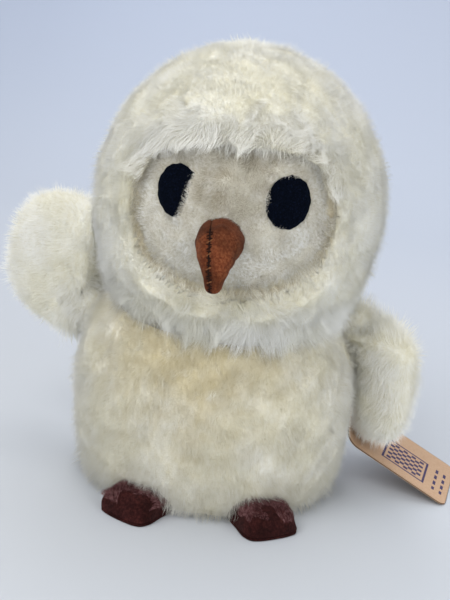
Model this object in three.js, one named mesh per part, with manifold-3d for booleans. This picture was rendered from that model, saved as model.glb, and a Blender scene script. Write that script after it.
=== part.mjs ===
// A plush owl chick that sits upright, with one wing raised and one hanging, and a card swing tag.
// Millimetres, +Z up. The owl faces -Y, and its own left is +X. The origin is the middle of the
// flat base, on the surface that the owl sits on.
import * as THREE from "three";
import { mergeVertices } from "three/addons/utils/BufferGeometryUtils.js";
import Module from "manifold-3d";

const wasm = await Module();
wasm.setup();

// Cloths, piles and clearances
const SEAM_GAP = 0.3; // between any two pieces that touch
const BACKING = 1.2; // woven ground of the fur cloth
const LONG_PILE = 11; // body and head
const WING_PILE = 7; // wings, lying flat
const SHORT_PILE = 4; // clipped face
const SUEDE = 1.4;
const FELT = 1.6;
const OVERRUN = 5; // how far a cutting solid runs past what it cuts

// Head
const HEAD_HEIGHT = 127; // centre of the head above the base
const HEAD_ASIDE = 3.5; // the head sits a little to the owl's left
const HEAD_RADIUS = 62; // sides, front, back and the ball under the head
const CROWN_HEIGHT = 66.5; // top of the head above its centre
const RUFF_SWELL = 7; // extra fur that hangs under the face
const BROW_SWELL = 3; // extra fur over the face
const NECK_HOLE_RADIUS = 15;
const HEAD_TURN = 25; // degrees to each side
const HEAD_NOD = 7; // degrees forward and back

// Face, eyes and beak, measured from the centre of the head
const FACE_RECESS = LONG_PILE - SHORT_PILE; // face lies this far inside the hood
const FACE_HALF_WIDTH = 38;
const FACE_RISE = 31; // top edge above the centre
const FACE_DROP = 27; // bottom edge below the centre
const EYE_HALF_WIDTH = 8.2;
const EYE_HALF_HEIGHT = 10;
const EYE_SPACING = 42; // between the eyes' centres
const EYE_RISE = 10.5;
const BEAK_HALF_WIDTH = 9;
const BEAK_HALF_DEPTH = 8;
const BEAK_TIP_HALF_WIDTH = 2.4;
const BEAK_REACH = 15; // how far the bend of the beak stands out from the face
const BEAK_DROP = 5; // middle of the beak's root below the centre of the head
const BEAK_ASIDE = -3; // the beak is sewn a little to the owl's right
const BEAK_LENGTH = 17; // from the root's middle down to the tip

// Body
const BODY_HALF_WIDTH = 61;
const BODY_HALF_DEPTH = 54;
const BODY_HEIGHT = 98; // where the cover would close if the head weren't there
const BELLY_FORWARD = 3; // the widest part sits this far in front of the base's middle
const NECK_OPENING_RADIUS = 15;
const NECK_CLOTH_RADIUS = 22;
const PELLET_BAG_RADIUS = 27;
const PELLET_BAG_HEIGHT = 16;

// Wings
const SHOULDER_OUT = 58; // shoulder from the middle plane
const SHOULDER_BACK = 8;
const SHOULDER_BELOW_HEAD = 53; // under the centre of the head
const SHOULDER_HEIGHT = HEAD_HEIGHT - SHOULDER_BELOW_HEAD;
const SHOULDER_RADIUS = 12;
const WING_LENGTH = 55; // shoulder to tip
const WING_HALF_THICKNESS = 12.5;
const WING_OPENING_RADIUS = 3.5; // where the wing is turned and filled
const RAISED_HALF_CHORD = 36; // owl's right wing
const RAISED_RISE = 11; // how far the wing's root is lifted along the chord
const HANGING_HALF_CHORD = 28; // owl's left wing
const HANGING_RISE = 5;
const HANGING_BOW = 7.5; // how far the wing's root bows outward
// Poses at rest, and how far the wing can be lowered, in degrees
const RAISED = {
  lift: 20,
  sweep: 33,
  twist: -6,
  lower: 20,
  halfChord: RAISED_HALF_CHORD,
  rise: RAISED_RISE,
  bow: 0,
};
const HANGING = {
  lift: -70,
  sweep: 10,
  twist: 68,
  lower: 0,
  halfChord: HANGING_HALF_CHORD,
  rise: HANGING_RISE,
  bow: HANGING_BOW,
};

// Feet
const FEET_ASIDE = 2; // the feet sit a little to the owl's left
const FOOT_SPACING = 50; // between the feet's middles
const FOOT_HALF_WIDTH = 12.5;
const FOOT_LENGTH = 30;
const FOOT_HEIGHT = 12;
const FOOT_FORWARD = 45.5; // the feet's middles in front of the base's middle
const FOOT_SPLAY = 33; // degrees that each foot turns out

// Swing tag
const TAG_WIDTH = 44;
const TAG_LENGTH = 66;
const TAG_THICKNESS = 0.6;
const TAG_CORNER_RADIUS = 4;
const TAG_SLOPE = 25; // degrees, down to the surface the owl sits on
const TAG_YAW = -11.5; // degrees
const TAG_UPRIGHT = 10; // length of the end that stands against the body
const TAG_UPRIGHT_ANGLE = 86; // degrees
const TAG_BEND = 10; // length of the bend below it
const TAG_HOLE_INSET = 6; // from the upright end
const TAG_HOLE_EDGE = 12; // from the front edge
const TAG_STANDOFF = 3.3; // hole's middle out from the body's widest side
const TAG_BACK = 14.1; // hole's middle behind the base's middle
const TAG_CLEARANCE = 1.8; // between the tie's head and the wing, so that the card can swing
const TIE_RADIUS = 0.9;
const TIE_SLACK = 1; // the tie's head stands off the card
const TIE_HEAD_RADIUS = 3;
const TIE_HEAD_THICKNESS = 0.8;
const TIE_LENGTH = 8; // from the card into the seam

// Facets
const HEAD_FACETS = { around: 28, up: 16 };
const BODY_FACETS = { around: 28, up: 12 };
const LINING_FACETS = { around: 18, up: 9 }; // inner faces and fillings
const WING_FACETS = { around: 16, along: 12 };
const BEAK_FACETS = 12;
const FOOT_FACETS = { around: 18, up: 5 };
const OUTLINE_FACETS = 36;
const PIN_FACETS = 10;

const COLOURS = {
  fur: { color: 0xe9e5d6, roughness: 1, metalness: 0 },
  clippedFur: { color: 0xdedcd2, roughness: 1, metalness: 0 },
  backing: { color: 0xcabfa6, roughness: 0.95, metalness: 0 },
  filling: { color: 0xf2f1ec, roughness: 1, metalness: 0 },
  pelletBag: { color: 0xb9b4a6, roughness: 0.9, metalness: 0 },
  felt: { color: 0x0a101c, roughness: 0.95, metalness: 0 },
  beakSuede: { color: 0x8a4c2a, roughness: 0.85, metalness: 0 },
  footSuede: { color: 0x4a221b, roughness: 0.9, metalness: 0 },
  kraft: { color: 0xc9a683, roughness: 0.8, metalness: 0 },
  tie: { color: 0xdcdcdc, roughness: 0.4, metalness: 0 },
};

const part = new THREE.Group();

const radians = THREE.MathUtils.degToRad;
const degrees = THREE.MathUtils.radToDeg;
const vec = (x, y, z) => new THREE.Vector3(x, y, z);

// Solids: geometries to manifold and back

function solid(geometry) {
  const bare = geometry.index ? geometry.toNonIndexed() : geometry.clone();
  for (const name of Object.keys(bare.attributes)) {
    if (name !== "position") bare.deleteAttribute(name);
  }
  const merged = mergeVertices(bare, SEAM_GAP / 1000);
  return new wasm.Manifold(
    new wasm.Mesh({
      numProp: 3,
      vertProperties: Float32Array.from(merged.attributes.position.array),
      triVerts: Uint32Array.from(merged.index.array),
    }),
  );
}

function geometryOf(manifold) {
  const mesh = manifold.getMesh();
  const geometry = new THREE.BufferGeometry();
  geometry.setAttribute("position", new THREE.BufferAttribute(mesh.vertProperties, 3));
  geometry.setIndex(new THREE.BufferAttribute(mesh.triVerts, 1));
  const flat = geometry.toNonIndexed();
  flat.computeVertexNormals();
  return flat;
}

function add(name, manifold, look) {
  const mesh = new THREE.Mesh(geometryOf(manifold), new THREE.MeshStandardMaterial(look));
  mesh.name = name;
  part.add(mesh);
}

function placed(manifold, matrix) {
  return solid(geometryOf(manifold).applyMatrix4(matrix));
}

const bell = (t) => (Math.abs(t) < 1 ? (1 - t * t) ** 2 : 0);

// A closed solid through rings of points, each end closed round its middle. Seen from the last
// ring, the points of a ring run anticlockwise.
function loft(rings) {
  const positions = [];
  const count = rings[0].length;
  const push = (...points) => points.forEach((p) => positions.push(p.x, p.y, p.z));
  const middle = (ring) => ring.reduce((sum, p) => sum.add(p), vec(0, 0, 0)).divideScalar(count);
  for (let k = 0; k + 1 < rings.length; k++) {
    for (let i = 0; i < count; i++) {
      const j = (i + 1) % count;
      push(rings[k][i], rings[k][j], rings[k + 1][j]);
      push(rings[k][i], rings[k + 1][j], rings[k + 1][i]);
    }
  }
  const first = rings[0];
  const last = rings[rings.length - 1];
  for (let i = 0; i < count; i++) {
    const j = (i + 1) % count;
    push(first[j], first[i], middle(first));
    push(last[i], last[j], middle(last));
  }
  const geometry = new THREE.BufferGeometry();
  geometry.setAttribute("position", new THREE.Float32BufferAttribute(positions, 3));
  return geometry;
}

// An outline seen from the front, measured from the head's middle plane, made a prism along Y
function prismAlongY(shape, fromY, toY) {
  const geometry = new THREE.ExtrudeGeometry(shape, {
    depth: Math.abs(toY - fromY),
    bevelEnabled: false,
    curveSegments: OUTLINE_FACETS,
  });
  geometry.rotateX(Math.PI / 2);
  geometry.translate(HEAD_ASIDE, Math.max(fromY, toY), 0);
  return solid(geometry);
}

function box(size, centre) {
  const geometry = new THREE.BoxGeometry(size.x, size.y, size.z);
  geometry.translate(centre.x, centre.y, centre.z);
  return solid(geometry);
}

// An upright hole on the neck's axis
function neckBore(radius, fromZ, toZ) {
  const geometry = new THREE.CylinderGeometry(radius, radius, toZ - fromZ, LINING_FACETS.around);
  geometry.rotateX(Math.PI / 2);
  geometry.translate(HEAD_ASIDE, 0, (fromZ + toZ) / 2);
  return solid(geometry);
}

// Head: every surface of it is one shape, moved in or out along the rays from the head's centre

const RUFF_ELEVATION = -32; // degrees, middle of the swell under the face
const RUFF_SPREAD = 29; // degrees, clear of the neck cloth when the head nods
const RUFF_REACH = 120; // degrees to each side
const BROW_ELEVATION = 42;
const BROW_SPREAD = 20;
const BROW_REACH = 60;

// The cloth's own shape: a ball below and a taller crown above
function shellRadius(dir) {
  const level = Math.hypot(dir.x, dir.y) / HEAD_RADIUS;
  const upright = dir.z / (dir.z > 0 ? CROWN_HEIGHT : HEAD_RADIUS);
  return 1 / Math.hypot(level, upright);
}

// The pile's tips, which swell over and under the face
function headRadius(dir) {
  const elevation = degrees(Math.asin(dir.z));
  const aside = degrees(Math.atan2(dir.x, -dir.y));
  const ruff = bell((elevation - RUFF_ELEVATION) / RUFF_SPREAD) * bell(aside / RUFF_REACH);
  const brow = bell((elevation - BROW_ELEVATION) / BROW_SPREAD) * bell(aside / BROW_REACH);
  return shellRadius(dir) + RUFF_SWELL * ruff + BROW_SWELL * brow;
}

// The room that the head needs below it as it turns and nods
function sweptRadius(dir) {
  let most = 0;
  for (const nodShare of [-1, -0.5, 0, 0.5, 1]) {
    for (const turnShare of [-1, -0.75, -0.5, -0.25, 0, 0.25, 0.5, 0.75, 1]) {
      const seen = dir.clone();
      seen.applyAxisAngle(vec(0, 0, 1), radians(turnShare * HEAD_TURN));
      seen.applyAxisAngle(vec(1, 0, 0), radians(nodShare * HEAD_NOD));
      most = Math.max(most, headRadius(seen));
    }
  }
  return most;
}

function headSolid(inset, radiusAt, facets = HEAD_FACETS) {
  const geometry = new THREE.SphereGeometry(1, facets.around, facets.up);
  geometry.rotateX(Math.PI / 2);
  const points = geometry.attributes.position;
  for (let i = 0; i < points.count; i++) {
    const dir = new THREE.Vector3().fromBufferAttribute(points, i).normalize();
    const point = dir.clone().multiplyScalar(radiusAt(dir) - inset);
    points.setXYZ(i, point.x + HEAD_ASIDE, point.y, point.z + HEAD_HEIGHT);
  }
  return solid(geometry);
}

const FUR_WALL = BACKING + LONG_PILE;

// Shares of the half width and of the rise or drop, down the owl's left side of the face
const FACE_OUTLINE_SHARES = [
  [0, 1],
  [0.46, 0.99],
  [0.84, 0.84],
  [0.99, 0.4],
  [1, -0.12],
  [0.88, -0.56],
  [0.56, -0.88],
  [0, -1],
];

function faceShape(inset) {
  const side = FACE_OUTLINE_SHARES.map(([across, up]) => [
    across * (FACE_HALF_WIDTH - inset),
    up * ((up > 0 ? FACE_RISE : FACE_DROP) - inset),
  ]);
  const other = side.slice(1, -1).reverse();
  const outline = side.concat(other.map(([x, z]) => [-x, z]));
  const curve = new THREE.CatmullRomCurve3(
    outline.map(([x, z]) => vec(x, z + HEAD_HEIGHT, 0)),
    true,
  );
  const points = curve.getPoints(OUTLINE_FACETS).slice(0, -1);
  return new THREE.Shape(points.map((p) => new THREE.Vector2(p.x, p.y)));
}

const FACE_FRONT = HEAD_RADIUS - FACE_RECESS; // where the clipped pile ends, on the middle line
const beyondHead = HEAD_RADIUS + RUFF_SWELL + OVERRUN;

const cavity = headSolid(FUR_WALL, shellRadius, LINING_FACETS);
const neckHole = neckBore(
  NECK_HOLE_RADIUS,
  HEAD_HEIGHT - HEAD_RADIUS - OVERRUN,
  HEAD_HEIGHT - HEAD_RADIUS + FUR_WALL + OVERRUN,
);
const hood = headSolid(0, headRadius)
  .subtract(cavity)
  .subtract(prismAlongY(faceShape(0), 0, -beyondHead))
  .subtract(neckHole);
add("hood", hood, COLOURS.fur);

const facePanel = headSolid(FACE_RECESS, shellRadius)
  .subtract(cavity)
  .intersect(prismAlongY(faceShape(SEAM_GAP), -OVERRUN, -beyondHead));
add("face_panel", facePanel, COLOURS.clippedFur);
add("head_stuffing", headSolid(FUR_WALL + SEAM_GAP, shellRadius, LINING_FACETS), COLOURS.filling);

// Eyes: oval felt patches that follow the face

function eye(side) {
  const oval = new THREE.Shape();
  const across = (side * EYE_SPACING) / 2;
  oval.absellipse(across, HEAD_HEIGHT + EYE_RISE, EYE_HALF_WIDTH, EYE_HALF_HEIGHT, 0, 2 * Math.PI);
  return headSolid(FACE_RECESS - SEAM_GAP - FELT, shellRadius)
    .subtract(headSolid(FACE_RECESS - SEAM_GAP, shellRadius))
    .intersect(prismAlongY(oval, -OVERRUN, -beyondHead));
}

add("left_eye", eye(1), COLOURS.felt);
add("right_eye", eye(-1), COLOURS.felt);

// Beak: a stuffed suede cone that bends down, sewn from two panels along the front

// Shares of the beak's half width and half depth along its length, root to tip
const BEAK_WIDTH_SHARES = [0.9, 1, 0.98, 0.86, 0.7, 0.52, 0.36, 0.27];
const BEAK_DEPTH_SHARES = [1, 1, 0.95, 0.85, 0.68, 0.5, 0.34, 0.22];

function beakCone(inset) {
  const root = vec(HEAD_ASIDE + BEAK_ASIDE, -(FACE_FRONT - OVERRUN), HEAD_HEIGHT - BEAK_DROP);
  const bend = vec(HEAD_ASIDE + BEAK_ASIDE, -(FACE_FRONT + BEAK_REACH), HEAD_HEIGHT - BEAK_DROP);
  const tip = bend.clone().setZ(root.z - BEAK_LENGTH);
  const path = new THREE.QuadraticBezierCurve3(root, bend, tip);
  const rings = BEAK_WIDTH_SHARES.map((widthShare, k) => {
    const t = k / (BEAK_WIDTH_SHARES.length - 1);
    const centre = path.getPoint(t);
    const along = path.getTangent(t);
    const up = along.clone().cross(vec(1, 0, 0)).normalize();
    const halfWidth = Math.max(BEAK_TIP_HALF_WIDTH, BEAK_HALF_WIDTH * widthShare) - inset;
    const halfDepth = BEAK_HALF_DEPTH * BEAK_DEPTH_SHARES[k] - inset;
    if (t === 0 || t === 1) centre.addScaledVector(along, -inset);
    return Array.from({ length: BEAK_FACETS }, (_, i) => {
      const turn = (2 * Math.PI * i) / BEAK_FACETS;
      return centre
        .clone()
        .add(vec(Math.cos(turn) * halfWidth, 0, 0))
        .addScaledVector(up, Math.sin(turn) * halfDepth);
    });
  });
  return solid(loft(rings));
}

const beakSeat = headSolid(FACE_RECESS - SEAM_GAP, shellRadius);
const beakShell = beakCone(0).subtract(beakCone(SUEDE)).subtract(beakSeat);
for (const [name, side] of [["beak_left_panel", 1], ["beak_right_panel", -1]]) {
  const reach = 2 * beyondHead;
  const middle = vec(HEAD_ASIDE + BEAK_ASIDE + (side * (reach + SEAM_GAP)) / 2, -beyondHead, HEAD_HEIGHT);
  const half = box(vec(reach, reach, reach), middle);
  add(name, beakShell.intersect(half), COLOURS.beakSuede);
}
add("beak_stuffing", beakCone(SUEDE + SEAM_GAP).subtract(beakSeat), COLOURS.filling);

// Body: a revolved outline, drawn in from front to back and swelling at the belly

// Shares of the body's height and half width, from the base up
const BODY_OUTLINE_SHARES = [
  [0, 0.84],
  [0.05, 0.92],
  [0.18, 0.985],
  [0.36, 1.01],
  [0.55, 1],
  [0.72, 0.94],
  [0.84, 0.83],
  [0.93, 0.63],
  [1, 0.3],
];
const BODY_DEPTH_SHARE = BODY_HALF_DEPTH / BODY_HALF_WIDTH;

function bodySolid(inset, fromZ, facets = BODY_FACETS) {
  const profile = new THREE.SplineCurve(
    BODY_OUTLINE_SHARES.map(([up, out]) => new THREE.Vector2(out * BODY_HALF_WIDTH, up * BODY_HEIGHT)),
  );
  const side = profile.getPoints(facets.up).map((p, k, all) => {
    const near = all[Math.max(k - 1, 0)];
    const far = all[Math.min(k + 1, all.length - 1)];
    const along = far.clone().sub(near).normalize();
    return new THREE.Vector2(p.x - along.y * inset, p.y + along.x * inset);
  });
  side[0].y = fromZ;
  const outline = [new THREE.Vector2(0, fromZ), ...side, new THREE.Vector2(0, side[side.length - 1].y)];
  const geometry = new THREE.LatheGeometry(outline, facets.around);
  geometry.rotateX(Math.PI / 2);
  const points = geometry.attributes.position;
  for (let i = 0; i < points.count; i++) {
    const swell = BELLY_FORWARD * bell((2 * points.getZ(i)) / BODY_HEIGHT - 1);
    points.setY(i, points.getY(i) * BODY_DEPTH_SHARE - swell);
  }
  return solid(geometry);
}

// The head's ball sits in a cup: the neck cloth lines its middle, and turns with the neck
const CUP_RADIUS = HEAD_RADIUS + SEAM_GAP;
const CLOTH_RADIUS = CUP_RADIUS + BACKING;
const clothAngle = Math.asin(NECK_CLOTH_RADIUS / CUP_RADIUS);

function ballCap(innerRadius, outerRadius, halfAngle) {
  const steps = HEAD_FACETS.up / 4;
  const arc = (radius) =>
    Array.from({ length: steps + 1 }, (_, k) => {
      const angle = (halfAngle * k) / steps;
      return new THREE.Vector2(radius * Math.sin(angle), -radius * Math.cos(angle));
    });
  const profile = [...arc(outerRadius), ...arc(innerRadius).reverse()];
  const geometry = new THREE.LatheGeometry(profile, LINING_FACETS.around);
  geometry.rotateX(Math.PI / 2);
  geometry.translate(HEAD_ASIDE, 0, HEAD_HEIGHT);
  return solid(geometry);
}

// How far the flats of a faceted ball lie inside the ball itself
function facetSag(radius, facets) {
  const flats = Math.cos(Math.PI / facets.around) * Math.cos(Math.PI / (2 * facets.up));
  return radius / flats - radius;
}

// Room for the head's swing and for the neck cloth, grown by a margin
function headRoom(margin, facets = HEAD_FACETS) {
  const seatAngle = clothAngle + (SEAM_GAP + margin) / HEAD_RADIUS;
  const seat = ballCap(HEAD_RADIUS - OVERRUN, CLOTH_RADIUS + margin, seatAngle);
  return headSolid(-margin - facetSag(HEAD_RADIUS, facets), sweptRadius, facets).add(seat);
}

// Room for a shoulder's ball, grown by a margin
function shoulderRoom(side, margin) {
  const radius = SHOULDER_RADIUS + margin;
  const geometry = new THREE.SphereGeometry(radius, LINING_FACETS.around, LINING_FACETS.up);
  geometry.translate(side * SHOULDER_OUT, SHOULDER_BACK, SHOULDER_HEIGHT);
  return solid(geometry);
}

const neckCloth = ballCap(CUP_RADIUS, CLOTH_RADIUS, clothAngle);
function bodyRoom(margin, facets) {
  return headRoom(margin, facets).add(shoulderRoom(1, margin)).add(shoulderRoom(-1, margin));
}
const bodyCavity = bodySolid(FUR_WALL, -OVERRUN, LINING_FACETS).subtract(
  bodyRoom(SEAM_GAP + BACKING, LINING_FACETS),
);
const neckOpening = neckBore(
  NECK_OPENING_RADIUS,
  HEAD_HEIGHT - CLOTH_RADIUS - BACKING - 2 * OVERRUN,
  HEAD_HEIGHT - HEAD_RADIUS,
);

// Swing tag: a card that leans from the side seam down to the surface, its near end bent up

// The card's middle line in its own XZ plane, at a distance from the far end: a straight slope, a
// bend, and a straight upright end
function tagStation(walked) {
  const slope = radians(TAG_SLOPE);
  const upright = radians(TAG_UPRIGHT_ANGLE);
  const ramp = TAG_LENGTH - TAG_BEND - TAG_UPRIGHT;
  const bent = Math.min(Math.max(walked - ramp, 0), TAG_BEND);
  const angle = slope + ((upright - slope) * bent) / TAG_BEND;
  const bendRadius = TAG_BEND / (upright - slope);
  const onRamp = Math.min(walked, ramp);
  const onUpright = Math.max(walked - ramp - TAG_BEND, 0);
  const run = onRamp * Math.cos(slope) + onUpright * Math.cos(upright);
  const rise = onRamp * Math.sin(slope) + onUpright * Math.sin(upright);
  const bendRun = bendRadius * (Math.sin(angle) - Math.sin(slope));
  const bendRise = bendRadius * (Math.cos(slope) - Math.cos(angle));
  const lift = (TAG_THICKNESS / 2) * Math.cos(slope);
  const point = vec(-run - bendRun, 0, lift + rise + bendRise);
  return { point, normal: vec(Math.sin(angle), 0, Math.cos(angle)) };
}

// The card is placed by its hole, at the body's side
function tagPlacement() {
  const placement = new THREE.Matrix4().makeRotationZ(radians(TAG_YAW));
  const hole = tagStation(TAG_LENGTH - TAG_HOLE_INSET).point.setY(TAG_HOLE_EDGE - TAG_WIDTH / 2);
  hole.applyMatrix4(placement);
  return placement.setPosition(BODY_HALF_WIDTH + TAG_STANDOFF - hole.x, TAG_BACK - hole.y, 0);
}

const tagTurn = tagPlacement();

// Shares of the corner radius at which the card's width is set, and of the length between them
const CORNER_SHARES = [0, 0.08, 0.3, 0.6, 1];
const CARD_SHARES = [0.25, 0.5, 0.7, 0.75, 0.8, 0.85];

function tagCard() {
  const corner = TAG_CORNER_RADIUS;
  const stations = [
    ...CORNER_SHARES.map((share) => share * corner),
    ...CARD_SHARES.map((share) => share * TAG_LENGTH),
    ...CORNER_SHARES.map((share) => TAG_LENGTH - share * corner).reverse(),
  ];
  const rings = stations.map((walked) => {
    const { point, normal } = tagStation(walked);
    const fromEnd = Math.min(walked, TAG_LENGTH - walked, corner);
    const cut = corner - Math.sqrt(corner ** 2 - (corner - fromEnd) ** 2);
    const across = vec(0, TAG_WIDTH / 2 - cut, 0);
    const up = normal.multiplyScalar(TAG_THICKNESS / 2);
    const low = point.clone().sub(up);
    const high = point.clone().add(up);
    return [low.clone().sub(across), high.clone().sub(across), high.add(across), low.add(across)];
  });
  return solid(loft(rings));
}

// The tie runs square through the card's hole into the side seam, with a flat head outside
function tiePiece(radius, headRadius, headThickness, inward) {
  const { point, normal } = tagStation(TAG_LENGTH - TAG_HOLE_INSET);
  const outward = TAG_THICKNESS / 2 + TIE_SLACK;
  const shank = new THREE.CylinderGeometry(radius, radius, inward + outward, PIN_FACETS);
  shank.translate(0, (outward - inward) / 2, 0);
  let piece = solid(shank);
  if (headRadius > 0) {
    const head = new THREE.CylinderGeometry(headRadius, headRadius, headThickness, PIN_FACETS);
    head.translate(0, outward + headThickness / 2, 0);
    piece = piece.add(solid(head));
  }
  const across = vec(0, 1, 0);
  const place = new THREE.Matrix4().makeBasis(normal.clone().cross(across), normal, across);
  place.setPosition(point.x, TAG_HOLE_EDGE - TAG_WIDTH / 2, point.z);
  return placed(piece, tagTurn.clone().multiply(place));
}

const tagHole = tiePiece(TIE_RADIUS + SEAM_GAP, 0, 0, OVERRUN);
add("hang_tag", placed(tagCard(), tagTurn).subtract(tagHole), COLOURS.kraft);
add("tag_tie", tiePiece(TIE_RADIUS, TIE_HEAD_RADIUS, TIE_HEAD_THICKNESS, TIE_LENGTH), COLOURS.tie);
const tieBore = tiePiece(TIE_RADIUS + SEAM_GAP, 0, 0, TIE_LENGTH + SEAM_GAP);

// Room inward of the card's upright end and under its slope, a distance off the card
function tagSide(walked, off) {
  const { point, normal } = tagStation(walked);
  const reach = 2 * TAG_LENGTH;
  const across = vec(0, 1, 0);
  const place = new THREE.Matrix4().makeBasis(normal, across, normal.clone().cross(across));
  place.setPosition(point.addScaledVector(normal, TAG_THICKNESS / 2 + off));
  const room = box(vec(reach, reach, reach), vec(-reach / 2, 0, 0));
  return placed(room, tagTurn.clone().multiply(place));
}

function tagRoom() {
  const beside = tagSide(TAG_LENGTH, TIE_SLACK + TIE_HEAD_THICKNESS + TAG_CLEARANCE);
  const top = tagStation(TAG_LENGTH).point.z + SEAM_GAP;
  const below = box(vec(4 * TAG_LENGTH, 4 * TAG_LENGTH, 2 * TAG_LENGTH), vec(0, 0, top - TAG_LENGTH));
  return beside.intersect(below).add(tagSide(0, SEAM_GAP));
}

// Wings: a ball at the shoulder that grows into a flat, rounded paddle

// Shares of the wing's length, and how far the wing has grown there from the ball to its full size
const WING_GROWTH_SHARES = [
  [0, 0],
  [0.05, 0.5],
  [0.12, 0.85],
  [0.25, 1],
  [1, 1],
];

function shareAt(table, at) {
  const next = Math.max(1, table.findIndex(([key]) => key >= at));
  const [fromKey, from] = table[next - 1];
  const [toKey, to] = table[next];
  return from + ((to - from) * (at - fromKey)) / (toKey - fromKey);
}

// Local frame: +X from the shoulder to the tip, Z along the chord, Y through the thickness
function wingSolid(inset, pose) {
  const tip = WING_LENGTH - inset;
  const ballRadius = SHOULDER_RADIUS - inset;
  const geometry = new THREE.SphereGeometry(1, WING_FACETS.around, WING_FACETS.along);
  geometry.rotateZ(-Math.PI / 2);
  const points = geometry.attributes.position;
  for (let i = 0; i < points.count; i++) {
    const dir = new THREE.Vector3().fromBufferAttribute(points, i).normalize();
    if (dir.x <= 0) {
      points.setXYZ(i, dir.x * ballRadius, dir.y * ballRadius, dir.z * ballRadius);
      continue;
    }
    const reach = 1 - (1 - dir.x) ** 1.5;
    const grown = shareAt(WING_GROWTH_SHARES, reach);
    const taper = (1 - reach ** 3.2) ** (1 / 3.2) / Math.max(Math.hypot(dir.y, dir.z), 1e-9);
    const chord = ballRadius + (pose.halfChord - SHOULDER_RADIUS) * grown;
    const thickness = ballRadius + (WING_HALF_THICKNESS - SHOULDER_RADIUS) * grown;
    const bowed = pose.bow * Math.sin(Math.PI * Math.sqrt(reach)) ** 2;
    const lifted = pose.rise * grown * (1 - reach);
    points.setXYZ(i, reach * tip, dir.y * thickness * taper + bowed, dir.z * chord * taper + lifted);
  }
  return solid(geometry);
}

// Turns the local frame to the wing's pose and moves it to its shoulder
function wingPlacement(side, pose) {
  const lift = radians(pose.lift);
  const sweep = radians(pose.sweep);
  const level = Math.cos(lift);
  const along = vec(side * level * Math.cos(sweep), level * Math.sin(sweep), Math.sin(lift));
  const chord = vec(0, 0, 1).addScaledVector(along, -along.z).normalize();
  chord.applyAxisAngle(along, radians(pose.twist));
  const through = chord.clone().cross(along);
  const placement = new THREE.Matrix4().makeBasis(along, through, chord);
  return placement.setPosition(side * SHOULDER_OUT, SHOULDER_BACK, SHOULDER_HEIGHT);
}

const wingWall = BACKING + WING_PILE;
const openingDepth = SHOULDER_RADIUS + OVERRUN;
const wingOpening = solid(
  new THREE.CylinderGeometry(WING_OPENING_RADIUS, WING_OPENING_RADIUS, openingDepth, PIN_FACETS)
    .rotateZ(Math.PI / 2)
    .translate(-openingDepth / 2, 0, 0),
);
const wingKeepOut = bodySolid(-SEAM_GAP, -OVERRUN).add(headRoom(SEAM_GAP));

// A placed wing cut by a solid that it swings past, at rest and at its lowest
function wingCut(side, pose) {
  const swing = new THREE.Matrix4().makeRotationY(side * radians(-pose.lower));
  const shoulder = new THREE.Matrix4().makeTranslation(side * SHOULDER_OUT, SHOULDER_BACK, SHOULDER_HEIGHT);
  const lowered = shoulder.clone().multiply(swing).multiply(shoulder.clone().invert());
  const cut = wingKeepOut.add(pose.lower > 0 ? placed(wingKeepOut, lowered) : tagRoom());
  return cut.subtract(shoulderRoom(side, 0));
}

for (const [name, side, pose] of [["left_wing", 1, HANGING], ["right_wing", -1, RAISED]]) {
  const placement = wingPlacement(side, pose);
  const cut = wingCut(side, pose);
  const filling = wingSolid(wingWall, pose);
  const cover = wingSolid(0, pose).subtract(filling).subtract(wingOpening);
  const stuffing = wingSolid(wingWall + SEAM_GAP, pose);
  add(`${name}_cover`, placed(cover, placement).subtract(cut), COLOURS.fur);
  add(`${name}_stuffing`, placed(stuffing, placement).subtract(cut), COLOURS.filling);
}

// Feet: a flat sole under a stuffed suede upper, sewn in under the front of the body

// Shares of the foot's half width and length, heel to toe, down its left side
const SOLE_OUTLINE_SHARES = [
  [0, 0],
  [0.62, 0.03],
  [0.86, 0.22],
  [0.95, 0.55],
  [1, 0.8],
  [0.78, 0.96],
  [0, 1],
];

function soleOutline(inset) {
  const side = SOLE_OUTLINE_SHARES.map(([across, along]) => [
    across * (FOOT_HALF_WIDTH - inset),
    inset + along * (FOOT_LENGTH - 2 * inset),
  ]);
  const other = side.slice(1, -1).reverse();
  const outline = side.concat(other.map(([x, y]) => [-x, y]));
  const curve = new THREE.CatmullRomCurve3(
    outline.map(([x, y]) => vec(x, -y, 0)),
    true,
  );
  return curve.getPoints(FOOT_FACETS.around).slice(0, -1);
}

// The upper's dome: the sole's outline, drawn in as it rises
function footDome(inset, fromZ) {
  const outline = soleOutline(inset);
  const middle = vec(0, -FOOT_LENGTH / 2, 0);
  const top = FOOT_HEIGHT - inset;
  const rings = Array.from({ length: FOOT_FACETS.up + 1 }, (_, k) => {
    const rise = Math.sin((Math.PI / 2) * (k / (FOOT_FACETS.up + 1)));
    const width = (1 - rise ** 2.6) ** (1 / 2.6);
    return outline.map((p) => middle.clone().lerp(p, width).setZ(k === 0 ? fromZ : rise * top));
  });
  return solid(loft(rings.map((ring) => ring.slice().reverse())));
}

function footPlacement(side) {
  const placement = new THREE.Matrix4().makeRotationZ(side * radians(FOOT_SPLAY));
  const heel = vec(0, FOOT_LENGTH / 2, 0).applyMatrix4(placement);
  const across = FEET_ASIDE + (side * FOOT_SPACING) / 2;
  return placement.setPosition(heel.x + across, heel.y - FOOT_FORWARD, 0);
}

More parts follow.
